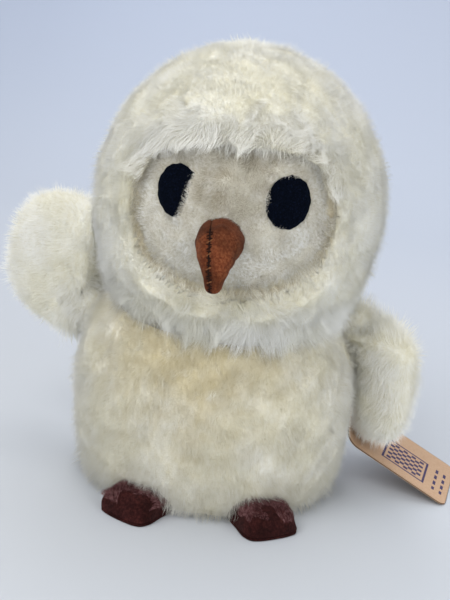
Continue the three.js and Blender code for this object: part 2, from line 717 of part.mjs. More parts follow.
const soleShape = (inset) => new THREE.Shape(soleOutline(inset).map((p) => new THREE.Vector2(p.x, p.y)));
const sole = solid(
  new THREE.ExtrudeGeometry(soleShape(SEAM_GAP), { depth: SUEDE, bevelEnabled: false }),
);
const footUpper = footDome(0, SUEDE + SEAM_GAP).subtract(footDome(SUEDE, 0));
const footStuffing = footDome(SUEDE + SEAM_GAP, SUEDE + SEAM_GAP);
const footRoom = footDome(-SEAM_GAP, -OVERRUN);
const footRooms = [];
for (const [name, side] of [["left_foot", 1], ["right_foot", -1]]) {
  const placement = footPlacement(side);
  add(`${name}_upper`, placed(footUpper, placement), COLOURS.footSuede);
  add(`${name}_sole`, placed(sole, placement), COLOURS.footSuede);
  add(`${name}_stuffing`, placed(footStuffing, placement), COLOURS.filling);
  footRooms.push(placed(footRoom, placement));
}

// Body pieces, cut by the head's cup, the shoulders and the feet

let bodyCover = bodySolid(0, 0).subtract(bodyCavity).subtract(bodyRoom(SEAM_GAP));
bodyCover = bodyCover.subtract(neckOpening);
for (const room of footRooms) bodyCover = bodyCover.subtract(room);
bodyCover = bodyCover.subtract(tieBore);
add("body_cover", bodyCover, COLOURS.fur);
add("neck_cloth", neckCloth, COLOURS.backing);

const slab = (fromZ, toZ) => {
  const reach = 2 * BODY_HALF_WIDTH;
  return box(vec(reach, reach, toZ - fromZ), vec(0, 0, (fromZ + toZ) / 2));
};
let basePanel = bodySolid(FUR_WALL + SEAM_GAP, -OVERRUN, LINING_FACETS).intersect(slab(0, BACKING));
for (const room of footRooms) basePanel = basePanel.subtract(room);
add("base_panel", basePanel, COLOURS.backing);

function pelletBagSolid(outset) {
  const geometry = new THREE.SphereGeometry(1, LINING_FACETS.around, LINING_FACETS.up);
  geometry.rotateX(Math.PI / 2);
  const radius = PELLET_BAG_RADIUS + outset;
  geometry.scale(radius, radius * BODY_DEPTH_SHARE, PELLET_BAG_HEIGHT / 2 + outset);
  geometry.translate(0, 0, BACKING + SEAM_GAP + PELLET_BAG_HEIGHT / 2);
  return solid(geometry);
}

add("pellet_bag", pelletBagSolid(0), COLOURS.pelletBag);
let bodyStuffing = bodySolid(FUR_WALL + SEAM_GAP, -OVERRUN, LINING_FACETS)
  .subtract(bodyRoom(BACKING + 2 * SEAM_GAP, LINING_FACETS))
  .subtract(slab(-2 * OVERRUN, BACKING + SEAM_GAP))
  .subtract(pelletBagSolid(SEAM_GAP));
for (const room of footRooms) bodyStuffing = bodyStuffing.subtract(room);
add("body_stuffing", bodyStuffing, COLOURS.filling);

export default part;
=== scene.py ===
"""Plush owl chick: pile, suede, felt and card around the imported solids. Metres, +Z up, facing -Y."""
import math

import bmesh
import bpy
import numpy as np
from mathutils import Matrix, Vector
from mathutils.kdtree import KDTree


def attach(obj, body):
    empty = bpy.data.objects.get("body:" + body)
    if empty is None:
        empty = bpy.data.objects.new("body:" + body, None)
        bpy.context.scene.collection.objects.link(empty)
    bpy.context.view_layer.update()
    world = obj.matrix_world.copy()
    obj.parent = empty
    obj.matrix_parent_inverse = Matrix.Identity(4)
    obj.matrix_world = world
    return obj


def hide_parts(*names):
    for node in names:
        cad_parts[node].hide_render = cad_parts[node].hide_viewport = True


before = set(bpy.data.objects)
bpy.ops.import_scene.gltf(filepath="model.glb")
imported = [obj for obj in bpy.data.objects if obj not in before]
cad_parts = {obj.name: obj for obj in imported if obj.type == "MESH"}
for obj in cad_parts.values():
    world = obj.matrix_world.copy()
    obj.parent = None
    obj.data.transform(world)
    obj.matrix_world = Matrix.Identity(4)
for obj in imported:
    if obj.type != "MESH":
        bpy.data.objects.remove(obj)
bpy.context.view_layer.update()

MM = 0.001
UP = np.array([0.0, 0.0, 1.0])


def add_object(name, data):
    obj = bpy.data.objects.new(name, data)
    bpy.context.scene.collection.objects.link(obj)
    return obj


# Camera, fitted to the photograph
CAMERA_AZIMUTH = 3.5
CAMERA_ELEVATION = 16.0
CAMERA_ROLL = 5.5
CAMERA_TARGET = (0.0, 0.0, 0.082)
CAMERA_DISTANCE = 0.5
CAMERA_VIEW_ANGLE = 29.5
CAMERA_SHIFT = 3 / 600
SENSOR_HEIGHT = 24


def make_camera():
    azimuth, elevation = math.radians(CAMERA_AZIMUTH), math.radians(CAMERA_ELEVATION)
    level = math.cos(elevation)
    back = Vector((math.sin(azimuth) * level, -math.cos(azimuth) * level, math.sin(elevation)))
    data = bpy.data.cameras.new("camera")
    data.sensor_fit = "VERTICAL"
    data.sensor_height = SENSOR_HEIGHT
    data.lens = data.sensor_height / 2 / math.tan(math.radians(CAMERA_VIEW_ANGLE) / 2)
    data.shift_x = CAMERA_SHIFT
    data.clip_start, data.clip_end = 0.01, 20
    camera = add_object("camera", data)
    camera.rotation_mode = "QUATERNION"
    roll = Matrix.Rotation(math.radians(CAMERA_ROLL), 3, "Z").to_quaternion()
    camera.rotation_quaternion = (-back).to_track_quat("-Z", "Y") @ roll
    camera.location = Vector(CAMERA_TARGET) + back * CAMERA_DISTANCE
    bpy.context.scene.camera = camera


make_camera()


# Vectors and fields over many points


def unit(v):
    return v / np.maximum(np.linalg.norm(v, axis=-1, keepdims=True), 1e-12)


def smooth(t):
    t = np.clip(t, 0, 1)
    return t * t * (3 - 2 * t)


def bell(t):
    return np.where(np.abs(t) < 1, (1 - t * t) ** 2, 0)


def turns(count):
    """Angles all round a circle."""
    return np.arange(count) * 2 * math.pi / count


def spin(angle):
    """The matrix of a turn about Z."""
    c, s = math.cos(angle), math.sin(angle)
    return np.array([[c, -s, 0], [s, c, 0], [0, 0, 1]])


def waves(points, size, seed):
    """A smooth random field over the points, about 1 high, with lumps of the given size."""
    count = 12
    draw = np.random.default_rng(seed)
    k = unit(draw.normal(size=(count, 3))) * (2 * math.pi / size) * draw.uniform(0.6, 1.5, (count, 1))
    phase = draw.uniform(0, 2 * math.pi, count)
    return np.sin(points @ k.T + phase).sum(1) / math.sqrt(count / 2)


def wave_vector(points, size, seed):
    return np.stack([waves(points, size, seed + 100 * k) for k in range(3)], 1)


# Materials. Colours are given as sRGB values from 0 to 255


def srgb(colour):
    return tuple(((c / 255 + 0.055) / 1.055) ** 2.4 if c > 10 else c / 255 / 12.92 for c in colour)


class Graph:
    """Shader nodes. feed fills a socket, add gives a new node, and the others give an output."""

    def __init__(self, tree):
        self.nodes, self.links = tree.nodes, tree.links

    def feed(self, socket, value):
        if isinstance(value, bpy.types.NodeSocket):
            self.links.new(value, socket)
        else:
            socket.default_value = (*srgb(value), 1) if isinstance(value, tuple) else value

    def add(self, kind, *values, **settings):
        """A node with its settings, and its first inputs fed."""
        node = self.nodes.new("ShaderNode" + kind)
        for key, value in settings.items():
            setattr(node, key, value)
        for socket, value in zip(node.inputs, values):
            self.feed(socket, value)
        return node

    def place(self):
        return self.add("TexCoord").outputs["Object"]

    def noise(self, scale, detail=3.0, rough=0.5, stretch=(1, 1, 1)):
        mapping = self.add("Mapping", self.place())
        mapping.inputs["Scale"].default_value = stretch
        tex = self.add("TexNoise", mapping.outputs["Vector"])
        for key, value in (("Scale", scale), ("Detail", detail), ("Roughness", rough)):
            tex.inputs[key].default_value = value
        return tex.outputs["Fac"]

    def ramp(self, socket, *stops):
        """Each stop is a place and its colour: (at, r, g, b)."""
        node = self.add("ValToRGB", socket)
        elements = node.color_ramp.elements
        while len(elements) < len(stops):
            elements.new(0.5)
        for element, (at, *colour) in zip(elements, stops):
            element.position = at
            element.color = (*srgb(colour), 1)
        return node.outputs["Color"]

    def mix(self, factor, a, b, blend="MIX"):
        node = self.add("Mix", data_type="RGBA", blend_type=blend)
        for index, value in ((0, factor), (6, a), (7, b)):
            self.feed(node.inputs[index], value)
        return node.outputs[2]

    def multiply(self, a, b):
        return self.mix(1.0, a, b, "MULTIPLY")

    def field(self, name):
        return self.add("Attribute", attribute_name=name).outputs["Fac"]

    def math(self, operation, *values):
        return self.add("Math", *values, operation=operation).outputs[0]


def material(name, paint, roughness, specular, sheen=0.0, sheen_tint=(1, 1, 1), grain=None):
    """A procedural material. paint(graph) gives the colour, and grain is the size and depth of a bump."""
    m = bpy.data.materials.new(name)
    m.use_nodes = True
    g = Graph(m.node_tree)
    shader = g.nodes["Principled BSDF"]
    shader.inputs["Roughness"].default_value = roughness
    shader.inputs["Specular IOR Level"].default_value = specular
    shader.inputs["Sheen Weight"].default_value = sheen
    shader.inputs["Sheen Tint"].default_value = (*sheen_tint, 1)
    g.links.new(paint(g), shader.inputs["Base Color"])
    if grain:
        scale, depth = grain
        node = g.add("Bump")
        node.inputs["Distance"].default_value = depth
        node.inputs["Strength"].default_value = 1.0
        g.links.new(g.noise(scale, 5, 0.7), node.inputs["Height"])
        g.links.new(node.outputs["Normal"], shader.inputs["Normal"])
    return m


# The beige that the tan field mixes into the fur: painted shade, in the groove round the face and on the
# belly under the head
PAINTED_SHADE_BEIGE = (215, 204, 172)
CREAM = (250, 249, 240)
BEIGE = (243, 240, 222)
WHITE = (254, 253, 246)
NO_TINT = (255, 255, 255)


def coat_colour(g):
    patches = g.ramp(g.noise(42, 3, 0.55), (0.40, *CREAM), (0.62, *BEIGE))
    white = g.mix(g.field("bright"), patches, WHITE)
    # tan mixes in painted shade
    return g.mix(g.field("tan"), white, PAINTED_SHADE_BEIGE)


def fur_paint(g):
    # Darker towards the roots: painted shade deep in the pile
    along = g.ramp(g.field("along"), (0.0, 246, 242, 226), (0.5, *NO_TINT))
    return g.multiply(coat_colour(g), along)


def face_paint(g):
    patches = g.ramp(g.noise(70, 4, 0.6), (0.35, 253, 252, 246), (0.65, 242, 240, 232))
    # tan mixes in grey beige: painted shade under the brow and round the face's rim, with some random tone
    shaded_patches = g.mix(g.field("tan"), patches, (192, 184, 166))
    white = g.mix(g.field("bright"), shaded_patches, WHITE)
    # Darker towards the roots: painted shade deep in the pile
    along = g.ramp(g.field("along"), (0.0, 236, 231, 220), (0.6, *NO_TINT))
    curls = g.ramp(g.noise(900, 3, 0.6), (0.38, 228, 225, 213), (0.55, *NO_TINT))
    return g.multiply(g.multiply(white, curls), along)


def skin_paint(g):
    wool = g.ramp(g.noise(420, 5, 0.7, (1, 1, 0.4)), (0.3, 234, 230, 216), (0.65, *NO_TINT))
    return g.multiply(coat_colour(g), wool)


def face_skin_paint(g):
    wool = g.ramp(g.noise(700, 5, 0.7), (0.3, 218, 214, 199), (0.7, 246, 243, 230))
    # tan mixes in beige: painted shade in the groove round the face
    return g.mix(g.field("tan"), wool, (196, 184, 158))


def flecks(noise, *stops):
    """A paint of one noise, ramped through colours."""
    return lambda g: g.ramp(g.noise(*noise), *stops)


def suede_paint(dark, middle, light):
    def paint(g):
        nap = g.ramp(g.noise(900, 5, 0.7), (0.3, *dark), (0.5, *middle), (0.72, *light))
        worn = g.ramp(g.noise(130, 3, 0.5), (0.35, 190, 190, 190), (0.65, *NO_TINT))
        # tan darkens the nap: painted shade, where it is given on the beak
        return g.multiply(g.mix(g.field("tan"), nap, dark), worn)
    return paint


# The card's print, in mm from its far end and from its middle line: a square of plain checks in a
# frame, and two rows of dashes
PRINT_MIDDLE = (23.75, -2.75)
PRINT_HALF = 11.25
PRINT_FRAME = 1.1
CHECK = 2.25
CHECKS_HALF = 4 * CHECK
DASH_ROWS = (7.6, 3.6)
DASH_HALF_WIDTH = 0.7
DASH_PITCH = 3.2
DASH_SHARE = 0.62
INK_STRENGTH = 0.9


def card_print(g):
    walked, across = g.field("walked"), g.field("across")

    def near(value, middle, half):
        return g.math("COMPARE", value, middle, half)

    def within(half):
        return g.math("MULTIPLY", near(walked, PRINT_MIDDLE[0], half), near(across, PRINT_MIDDLE[1], half))

    starts = [middle - CHECKS_HALF for middle in PRINT_MIDDLE]
    corner = [g.math("SUBTRACT", value, start) for value, start in zip((walked, across), starts)]
    checks = g.add("TexChecker", g.add("CombineXYZ", *corner).outputs[0])
    checks.inputs["Scale"].default_value = 1 / CHECK
    square = g.math("MULTIPLY", within(CHECKS_HALF), checks.outputs["Fac"])
    inked = g.math("ADD", square, g.math("SUBTRACT", within(PRINT_HALF), within(PRINT_HALF - PRINT_FRAME)))
    dash = g.math("LESS_THAN", g.math("PINGPONG", across, DASH_PITCH), DASH_PITCH * DASH_SHARE)
    dashes = g.math("MULTIPLY", near(across, PRINT_MIDDLE[1], PRINT_HALF), dash)
    for row in DASH_ROWS:
        inked = g.math("ADD", inked, g.math("MULTIPLY", near(walked, row, DASH_HALF_WIDTH), dashes))
    above = g.math("GREATER_THAN", g.field("bright"), 0.5)
    return g.math("MULTIPLY", g.math("MINIMUM", inked, INK_STRENGTH), above)


def kraft_paint(g):
    fibres = g.noise(900, 6, 0.7, (1, 3, 1))
    pulp = g.ramp(fibres, (0.3, 184, 148, 118), (0.5, 200, 166, 136), (0.75, 212, 182, 154))
    # tan mixes in dark brown: painted shade on the card's edges and underside
    return g.mix(g.field("tan"), g.mix(card_print(g), pulp, (28, 34, 92)), (58, 40, 28))


FUR = material("cream pile", fur_paint, 0.95, 0.15, 0.25)
FACE = material("clipped pile", face_paint, 0.95, 0.15, 0.2)
SKIN = material("underfur", skin_paint, 1.0, 0.1, grain=(900, 0.0006))
FACE_SKIN = material("clipped underfur", face_skin_paint, 1.0, 0.1, grain=(1400, 0.0004))
FELT = material(
    "navy felt", flecks((1500, 4, 0.7), (0.35, 2, 4, 9), (0.58, 6, 10, 21), (0.75, 22, 32, 54)),
    1.0, 0.03, 0.02, (0.3, 0.45, 0.8), (1600, 0.0005),
)
BEAK_SUEDE = material(
    "beak suede", suede_paint((76, 37, 23), (114, 60, 36), (146, 88, 56)),
    0.95, 0.08, 0.08, (1, 0.7, 0.5), (2200, 0.00025),
)
FOOT_SUEDE = material(
    "foot suede", suede_paint((28, 12, 12), (51, 23, 22), (78, 40, 36)),
    0.95, 0.06, 0.08, (1, 0.5, 0.5), (2000, 0.0003),
)
FOOT_FUZZ = material("suede fuzz", flecks((600, 3), (0.35, 84, 48, 50), (0.65, 142, 104, 104)), 0.95, 0.08)
KRAFT = material("kraft card", kraft_paint, 0.85, 0.25, grain=(1500, 0.00008))
THREAD = material("dark thread", flecks((3000, 2), (0.4, 24, 12, 8), (0.6, 46, 25, 17)), 0.8, 0.1)
PALE_THREAD = material("ochre thread", flecks((3000, 2), (0.4, 92, 54, 30), (0.6, 138, 88, 46)), 0.7, 0.3)
TIE = material("clear tie", flecks((400, 2), (0.3, 150, 140, 130), (0.7, 196, 188, 178)), 0.35, 0.5)
CLOTH = material(
    "woven ground", flecks((2500, 2, 0.6, (1, 4, 1)), (0.35, 196, 184, 156), (0.65, 222, 212, 188)),
    1.0, 0.1, grain=(2500, 0.0002),
)
WADDING = material(
    "white wadding", flecks((300, 6, 0.7), (0.3, 226, 225, 220), (0.7, 246, 246, 243)),
    1.0, 0.1, 0.2, grain=(500, 0.0008),
)


# Meshes


def make_object(name, verts, faces, mat, body, values=None, smooth_shaded=True):
    """faces is a list of index arrays, one array for each face size, and values are fields over verts."""
    values = {"along": 0.0, "bright": 0.0, "tan": 0.0, **(values or {})}
    mesh = bpy.data.meshes.new(name)
    loops = np.concatenate([f.ravel() for f in faces])
    totals = np.concatenate([np.full(len(f), f.shape[1]) for f in faces])
    starts = np.concatenate([[0], np.cumsum(totals)[:-1]])
    mesh.vertices.add(len(verts))
    mesh.vertices.foreach_set("co", np.asarray(verts, np.float32).ravel())
    mesh.loops.add(len(loops))
    mesh.loops.foreach_set("vertex_index", loops.astype(np.int32))
    mesh.polygons.add(len(totals))
    mesh.polygons.foreach_set("loop_start", starts.astype(np.int32))
    mesh.update(calc_edges=True)
    mesh.polygons.foreach_set("use_smooth", np.full(len(totals), smooth_shaded))
    for key in sorted(values):
        attribute = mesh.attributes.new(key, "FLOAT", "POINT")
        filled = np.broadcast_to(values[key], len(verts))
        attribute.data.foreach_set("value", np.ascontiguousarray(filled, np.float32))
    mesh.materials.append(mat)
    obj = add_object(name, mesh)
    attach(obj, body)
    return obj


def vertex_normals(verts, tris):
    a, b, c = (verts[tris[:, k]] for k in range(3))
    face = np.cross(b - a, c - a)
    total = np.zeros_like(verts)
    for k in range(3):
        np.add.at(total, tris[:, k], face)
    return unit(total)


def triangles(faces):
    out = []
    for f in faces:
        for k in range(1, f.shape[1] - 1):
            out.append(f[:, [0, k, k + 1]])
    return np.concatenate(out)


def grid_faces(rows, columns, closed=False, offset=0):
    """Quads between rows of points. Closed rows join their last point to their first."""
    i = np.arange(columns if closed else columns - 1)
    j = (i + 1) % columns
    band = np.stack([i, j, columns + j, columns + i], 1) + offset
    return np.concatenate([band + k * columns for k in range(rows - 1)])


def fan_faces(rings, around):
    """Faces from point 0 out over rings of points: quads, and the triangles in the middle."""
    i = np.arange(around)
    fan = np.stack([0 * i, 1 + i, 1 + (i + 1) % around], 1)
    return [grid_faces(rings, around, True, 1)[:, [0, 3, 2, 1]], fan]


def ball_grid(around, up):
    """Directions over a ball with a pole at +Z and one at -Z, and the faces between them."""
    rows = np.linspace(0, math.pi, up + 1)[1:-1]
    turn = turns(around)
    level = np.sin(rows)[:, None]
    ring = np.stack([level * np.cos(turn), level * np.sin(turn), np.cos(rows)[:, None] + 0 * turn], 2)
    dirs = np.concatenate([[UP], ring.reshape(-1, 3), [-UP]])
    quads, top = fan_faces(up - 1, around)
    last = len(dirs) - 1
    i = np.arange(around)
    bottom = np.stack([0 * i + last, last - around + (i + 1) % around, last - around + i], 1)
    return dirs, [quads, np.concatenate([top, bottom])]


def two_sided(outer, inner, faces):
    """A closed cloth between two sheets that have the same faces, with walls round their rims."""
    n = len(outer)
    pairs = [(f[:, k], np.roll(f, -1, 1)[:, k]) for f in faces for k in range(f.shape[1])]
    edges = np.concatenate([np.stack(pair, 1) for pair in pairs])
    key = edges[:, 0] * n + edges[:, 1]
    back = edges[:, 1] * n + edges[:, 0]
    rim = edges[~np.isin(key, back)]
    walls = np.stack([rim[:, 1], rim[:, 0], rim[:, 0] + n, rim[:, 1] + n], 1)
    return np.concatenate([outer, inner]), faces + [f[:, ::-1] + n for f in faces] + [walls]


def shell(outer, inner):
    """A closed cloth between two grids of the same size."""
    return two_sided(outer.reshape(-1, 3), inner.reshape(-1, 3), [grid_faces(*outer.shape[:2])])


def scatter(verts, faces, density, seed):
    """Even random points over a surface, with their normals. Density in points per square mm."""
    tris = triangles(faces)
    normals = vertex_normals(verts, tris)
    a, b, c = (verts[tris[:, k]] for k in range(3))
    area = np.linalg.norm(np.cross(b - a, c - a), axis=1) / 2
    reach = np.cumsum(area)
    count = int(reach[-1] * 1e6 * density)
    draw = np.random.default_rng(seed)
    walk = (np.arange(count) + draw.uniform(0, 1, count)) / count * reach[-1]
    tri = np.minimum(np.searchsorted(reach, walk), len(tris) - 1)
    u, v = draw.uniform(0, 1, (2, count))
    over = u + v > 1
    u, v = np.where(over, 1 - u, u), np.where(over, 1 - v, v)
    share = np.stack([1 - u - v, u, v], 1)[:, :, None]
    points = (verts[tris[tri]] * share).sum(1)
    return points, unit((normals[tris[tri]] * share).sum(1))


STRAND_FLATNESS = 0.5
STRAND_BEND = 0.4  # a strand's width where it bends


def strand_object(name, mat, body, root, mid, tip, width, shade, values, rough):
    """Closed three-sided strands that taper to a point. mid is None where they're straight.

    Each has its own cell of the bake map, and its shading follows the surface it grows from.
    """
    n = len(root)
    draw = np.random.default_rng(n)
    axis = unit(tip - root)
    side = unit(np.cross(shade + 0.25 * draw.normal(size=(n, 3)), axis))
    up = np.cross(axis, side)
    size = 4 if mid is None else 7
    verts = np.empty((n, size, 3))
    for k in range(3):
        angle = math.pi / 6 + 2 * math.pi * k / 3
        ring = side * math.cos(angle) + up * (STRAND_FLATNESS * math.sin(angle))
        verts[:, k] = root + ring * (width / 2)[:, None]
        if mid is not None:
            verts[:, 3 + k] = mid + ring * (width * STRAND_BEND)[:, None]
    verts[:, -1] = tip
    base = (np.arange(n) * size)[:, None]
    cap = [base + np.array([2, 1, 0])]
    low = size - 4
    tips = [base + np.array([low + k, low + (k + 1) % 3, size - 1]) for k in range(3)]
    tri_uv = [[[k, 1.6 * low / 3], [k + 1, 1.6 * low / 3], [k + 0.5, 2.8]] for k in range(3)]
    tri_uv.append([[0, 2.9], [0.4, 2.9], [0.2, 3]])
    faces, shapes = [np.concatenate(tips + cap)], [np.array(t) for t in tri_uv]
    if mid is not None:
        sides = [base + np.array([k, (k + 1) % 3, 3 + (k + 1) % 3, 3 + k]) for k in range(3)]
        faces.insert(0, np.concatenate(sides))
        shapes = [np.array([[k, 0], [k + 1, 0], [k + 1, 1.5], [k, 1.5]]) for k in range(3)] + shapes
    per_vertex = {k: np.repeat(v, size) for k, v in values.items()}
    per_vertex["along"] = np.tile([0, 0, 0, 1.0] if mid is None else [0, 0, 0, 0.55, 0.55, 0.55, 1.0], n)
    obj = make_object(name, verts.reshape(-1, 3), faces, mat, body, per_vertex)
    mesh = obj.data
    cells = math.ceil(math.sqrt(n))
    cell = np.stack([np.arange(n) % cells, np.arange(n) // cells], 1)
    uv = np.concatenate([((q / 3.3 + 0.04)[None] + cell[:, None, :]).reshape(-1, 2) for q in shapes]) / cells
    layer = mesh.uv_layers.new(name="OFBake")
    layer.data.foreach_set("uv", uv.astype(np.float32).ravel())
    outward = np.empty((n, size, 3))
    for k in range(size):
        own = axis if k == size - 1 else verts[:, k] - (root if k < 3 else mid)
        outward[:, k] = unit(shade + rough * unit(own))
    mesh.normals_split_custom_set_from_vertices(outward.reshape(-1, 3))
    return obj


def grow(root, normal, length, lean, width, seed, clump, pull, stir):
    """Strands from roots along their normals, leaning by a vector, stirred by noise and drawn into tufts."""
    n = len(root)
    draw = np.random.default_rng(seed)
    direction = unit(
        normal + lean
        + stir * wave_vector(root, 0.024, seed + 1)
        + 0.7 * stir * wave_vector(root, 0.010, seed + 2)
        + 0.14 * draw.normal(size=(n, 3))
    )
    under = (direction * normal).sum(1)
    direction = unit(direction + normal * np.maximum(0.3 - under, 0)[:, None])
    size = length * (1 + 0.05 * waves(root, 0.02, seed + 3)) * draw.uniform(0.8, 1.08, n)
    tip = root + direction * size[:, None]
    count = (n + clump - 1) // clump
    tree = KDTree(count)
    leaders = draw.permutation(n)[:count]
    for k, i in enumerate(leaders):
        tree.insert(root[i], k)
    tree.balance()
    leader = leaders[[tree.find(p)[1] for p in root]]
    share = (pull * draw.uniform(0.2, 1.3, n))[:, None]
    gathered = tip[leader] + (root - root[leader]) * 0.25
    tip = tip * (1 - share) + gathered * share
    bulge = normal * (0.10 * size)[:, None] + draw.normal(size=(n, 3)) * (0.04 * size)[:, None]
    return root + (tip - root) * 0.5 + bulge, tip, width * draw.uniform(0.75, 1.25, n)


# Head

HEAD = np.array([3.5, 0.0, 127.0]) * MM
HEAD_RADIUS = 62 * MM
CROWN_HEIGHT = 66.5 * MM
RUFF_SWELL = 7 * MM
BROW_SWELL = 3 * MM
NECK_HOLE_RADIUS = 15 * MM
FACE_RECESS = 7 * MM
FACE_RADIUS = HEAD_RADIUS - FACE_RECESS


def shell_radius(d):
    level = np.hypot(d[:, 0], d[:, 1]) / HEAD_RADIUS
    upright = d[:, 2] / np.where(d[:, 2] > 0, CROWN_HEIGHT, HEAD_RADIUS)
    return 1 / np.hypot(level, upright)


def bearing(d):
    """How high directions point, and how far they turn from the front, in degrees."""
    return np.degrees(np.arcsin(np.clip(d[:, 2], -1, 1))), np.degrees(np.arctan2(d[:, 0], -d[:, 1]))


def head_radius(d):
    elevation, aside = bearing(d)
    ruff = bell((elevation + 32) / 29) * bell(aside / 120)
    brow = bell((elevation - 42) / 20) * bell(aside / 60)
    return shell_radius(d) + RUFF_SWELL * ruff + BROW_SWELL * brow


FACE_HALF_WIDTH = 38 * MM
FACE_RISE = 31 * MM
FACE_DROP = 27 * MM
# Half the face's outline from top to bottom, as shares of its half width, rise and drop
FACE_OUTLINE = np.array(
    [[0, 1], [0.46, 0.99], [0.84, 0.84], [0.99, 0.4], [1, -0.12], [0.88, -0.56], [0.56, -0.88], [0, -1]]
)


def face_edge(points):
    """How far points lie out from the face's middle, as a share of its outline. Under 1 is inside."""
    side = FACE_OUTLINE * [FACE_HALF_WIDTH, 1]
    side[:, 1] *= np.where(side[:, 1] > 0, FACE_RISE, FACE_DROP)
    ring = np.concatenate([side, side[-2:0:-1] * [-1, 1]])
    angle = np.arctan2(ring[:, 0], ring[:, 1])
    order = np.argsort(angle)
    local = points - HEAD
    at = np.arctan2(local[:, 0], local[:, 2])
    reach = np.interp(at, angle[order], np.hypot(*ring[order].T), period=2 * math.pi)
    share = np.hypot(local[:, 0], local[:, 2]) / reach
    return np.where(local[:, 1] < 0, share, 9.0)


def head_points(d, inset):
    return HEAD + d * (head_radius(d) - inset)[:, None]


def face_points(d, inset):
    return HEAD + d * (shell_radius(d) - FACE_RECESS - inset)[:, None]


HOOD_FROM = 0.985  # as a share of the face's outline, as face_edge gives it
FACE_TO = 1.02
SKIN_DEPTH = 1.8 * MM
SKIN_THICKNESS = 2.5 * MM
ROOT_DEPTH = 0.6 * MM  # the hairs' roots under the skin
dirs, ball_faces = ball_grid(256, 192)
ground = head_points(dirs, SKIN_DEPTH)
edge = face_edge(face_points(dirs, 0))
in_face = smooth((1.08 - edge) / 0.16)[:, None]
ground = ground * (1 - in_face) + face_points(dirs, 1.2 * MM) * in_face


def woolly(points, seed):
    """Heights of the fur's surface over its mean: large soft lumps, curls and fine wool."""
    heights = ((0.42, 0.016), (0.15, 0.007), (0.06, 0.0035))
    return sum(MM * height * waves(points, size, seed + k) for k, (height, size) in enumerate(heights))


ground += dirs * (woolly(ground, 5) * (1 - 0.7 * in_face[:, 0]))[:, None]


def faces_where(faces, keep):
    return [f[keep[f].all(1)] for f in faces]


def trimmed(verts, faces):
    """Only the vertices that the faces use."""
    used = np.unique(np.concatenate([f.ravel() for f in faces]))
    place = np.full(len(verts), -1)
    place[used] = np.arange(len(used))
    return verts[used], [place[f] for f in faces if len(f)]


def closed_skin(verts, faces, centre, depth):
    """An open skin made a closed one, with a second side drawn in towards a centre."""
    verts, faces = trimmed(verts, faces)
    return two_sided(verts, verts - unit(verts - centre) * depth, faces)


neck = dirs[:, 2] < -math.cos(math.asin(NECK_HOLE_RADIUS / HEAD_RADIUS))
for name, keep, mat, node in (
    ("hood_underfur", (edge > HOOD_FROM) & ~neck, SKIN, "hood"),
    ("face_underfur", edge < FACE_TO, FACE_SKIN, "face_panel"),
):
    verts, faces = closed_skin(ground, faces_where(ball_faces, keep), HEAD, SKIN_THICKNESS)
    # Painted shade in the groove round the face's edge
    groove = bell((face_edge(verts) - 1.0) / 0.09)
    skin = make_object(name, verts, faces, mat, "head", {"tan": groove})
    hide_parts(node)


def inside_head(points, slack):
    d = points - HEAD
    return np.linalg.norm(d, axis=1) < head_radius(unit(d)) - slack


# Long pile: a dense straight undercoat, and sparse longer hairs that bend
def pile_layer(name, density, width, clump, pull, stir=0.2, reach=1.0, bent=True):
    """One layer: hairs per square mm, their width in mm, and how they gather in clumps."""
    return {
        "name": name, "density": density, "width": width * MM, "reach": reach, "bent": bent,
        "gather": {"clump": clump, "pull": pull, "stir": stir},
    }


COATS = (
    pile_layer("fur", 3.4, 0.14, 12, 0.25, bent=False),
    pile_layer("tufts", 0.5, 0.13, 7, 0.5, reach=1.5),
)
COAT_LENGTH = 3.8 * MM


def halved(left, **kinds):
    """Each kind's strands on the left, and on the right."""
    ways = (("left", left), ("right", ~left))
    return {f"{side}_{kind}": half & where for kind, where in kinds.items() for side, half in ways}


def whole(name):
    """Pieces for a dress of one piece."""
    return lambda root: {name: np.ones(len(root), bool)}


def dress(
    verts, faces, style, pieces, body, seed, coats=COATS, trim=None, mat=FUR, rough=0.18
):
    """Grows coats over a surface.

    style(root, normal) gives each root's keep, lean, length, bright, tan and shade. trim(root, mid, tip)
    shortens strands and says which are left. pieces(root) names the pieces and the strands of each.
    """
    for layer, coat in enumerate(coats):
        root, normal = scatter(verts, faces, coat["density"], seed + layer)
        look = style(root, normal)
        keep = look["keep"]
        root, normal = root[keep], normal[keep]
        look = {k: v[keep] for k, v in look.items()}
        mid, tip, width = grow(
            root, normal, look["length"] * coat["reach"], look["lean"], coat["width"], seed + 10 + layer,
            **coat["gather"],
        )
        left = np.ones(len(root), bool)
        if trim:
            mid, tip, left = trim(root, mid, tip)
        for name, inside in pieces(root).items():
            r = inside & left
            if not r.any():
                continue
            piece = strand_object(
                f"{name}_{coat['name']}", mat, body, root[r], mid[r] if coat["bent"] else None, tip[r],
                width[r], look["shade"][r], {"bright": look["bright"][r], "tan": look["tan"][r]}, rough,
            )


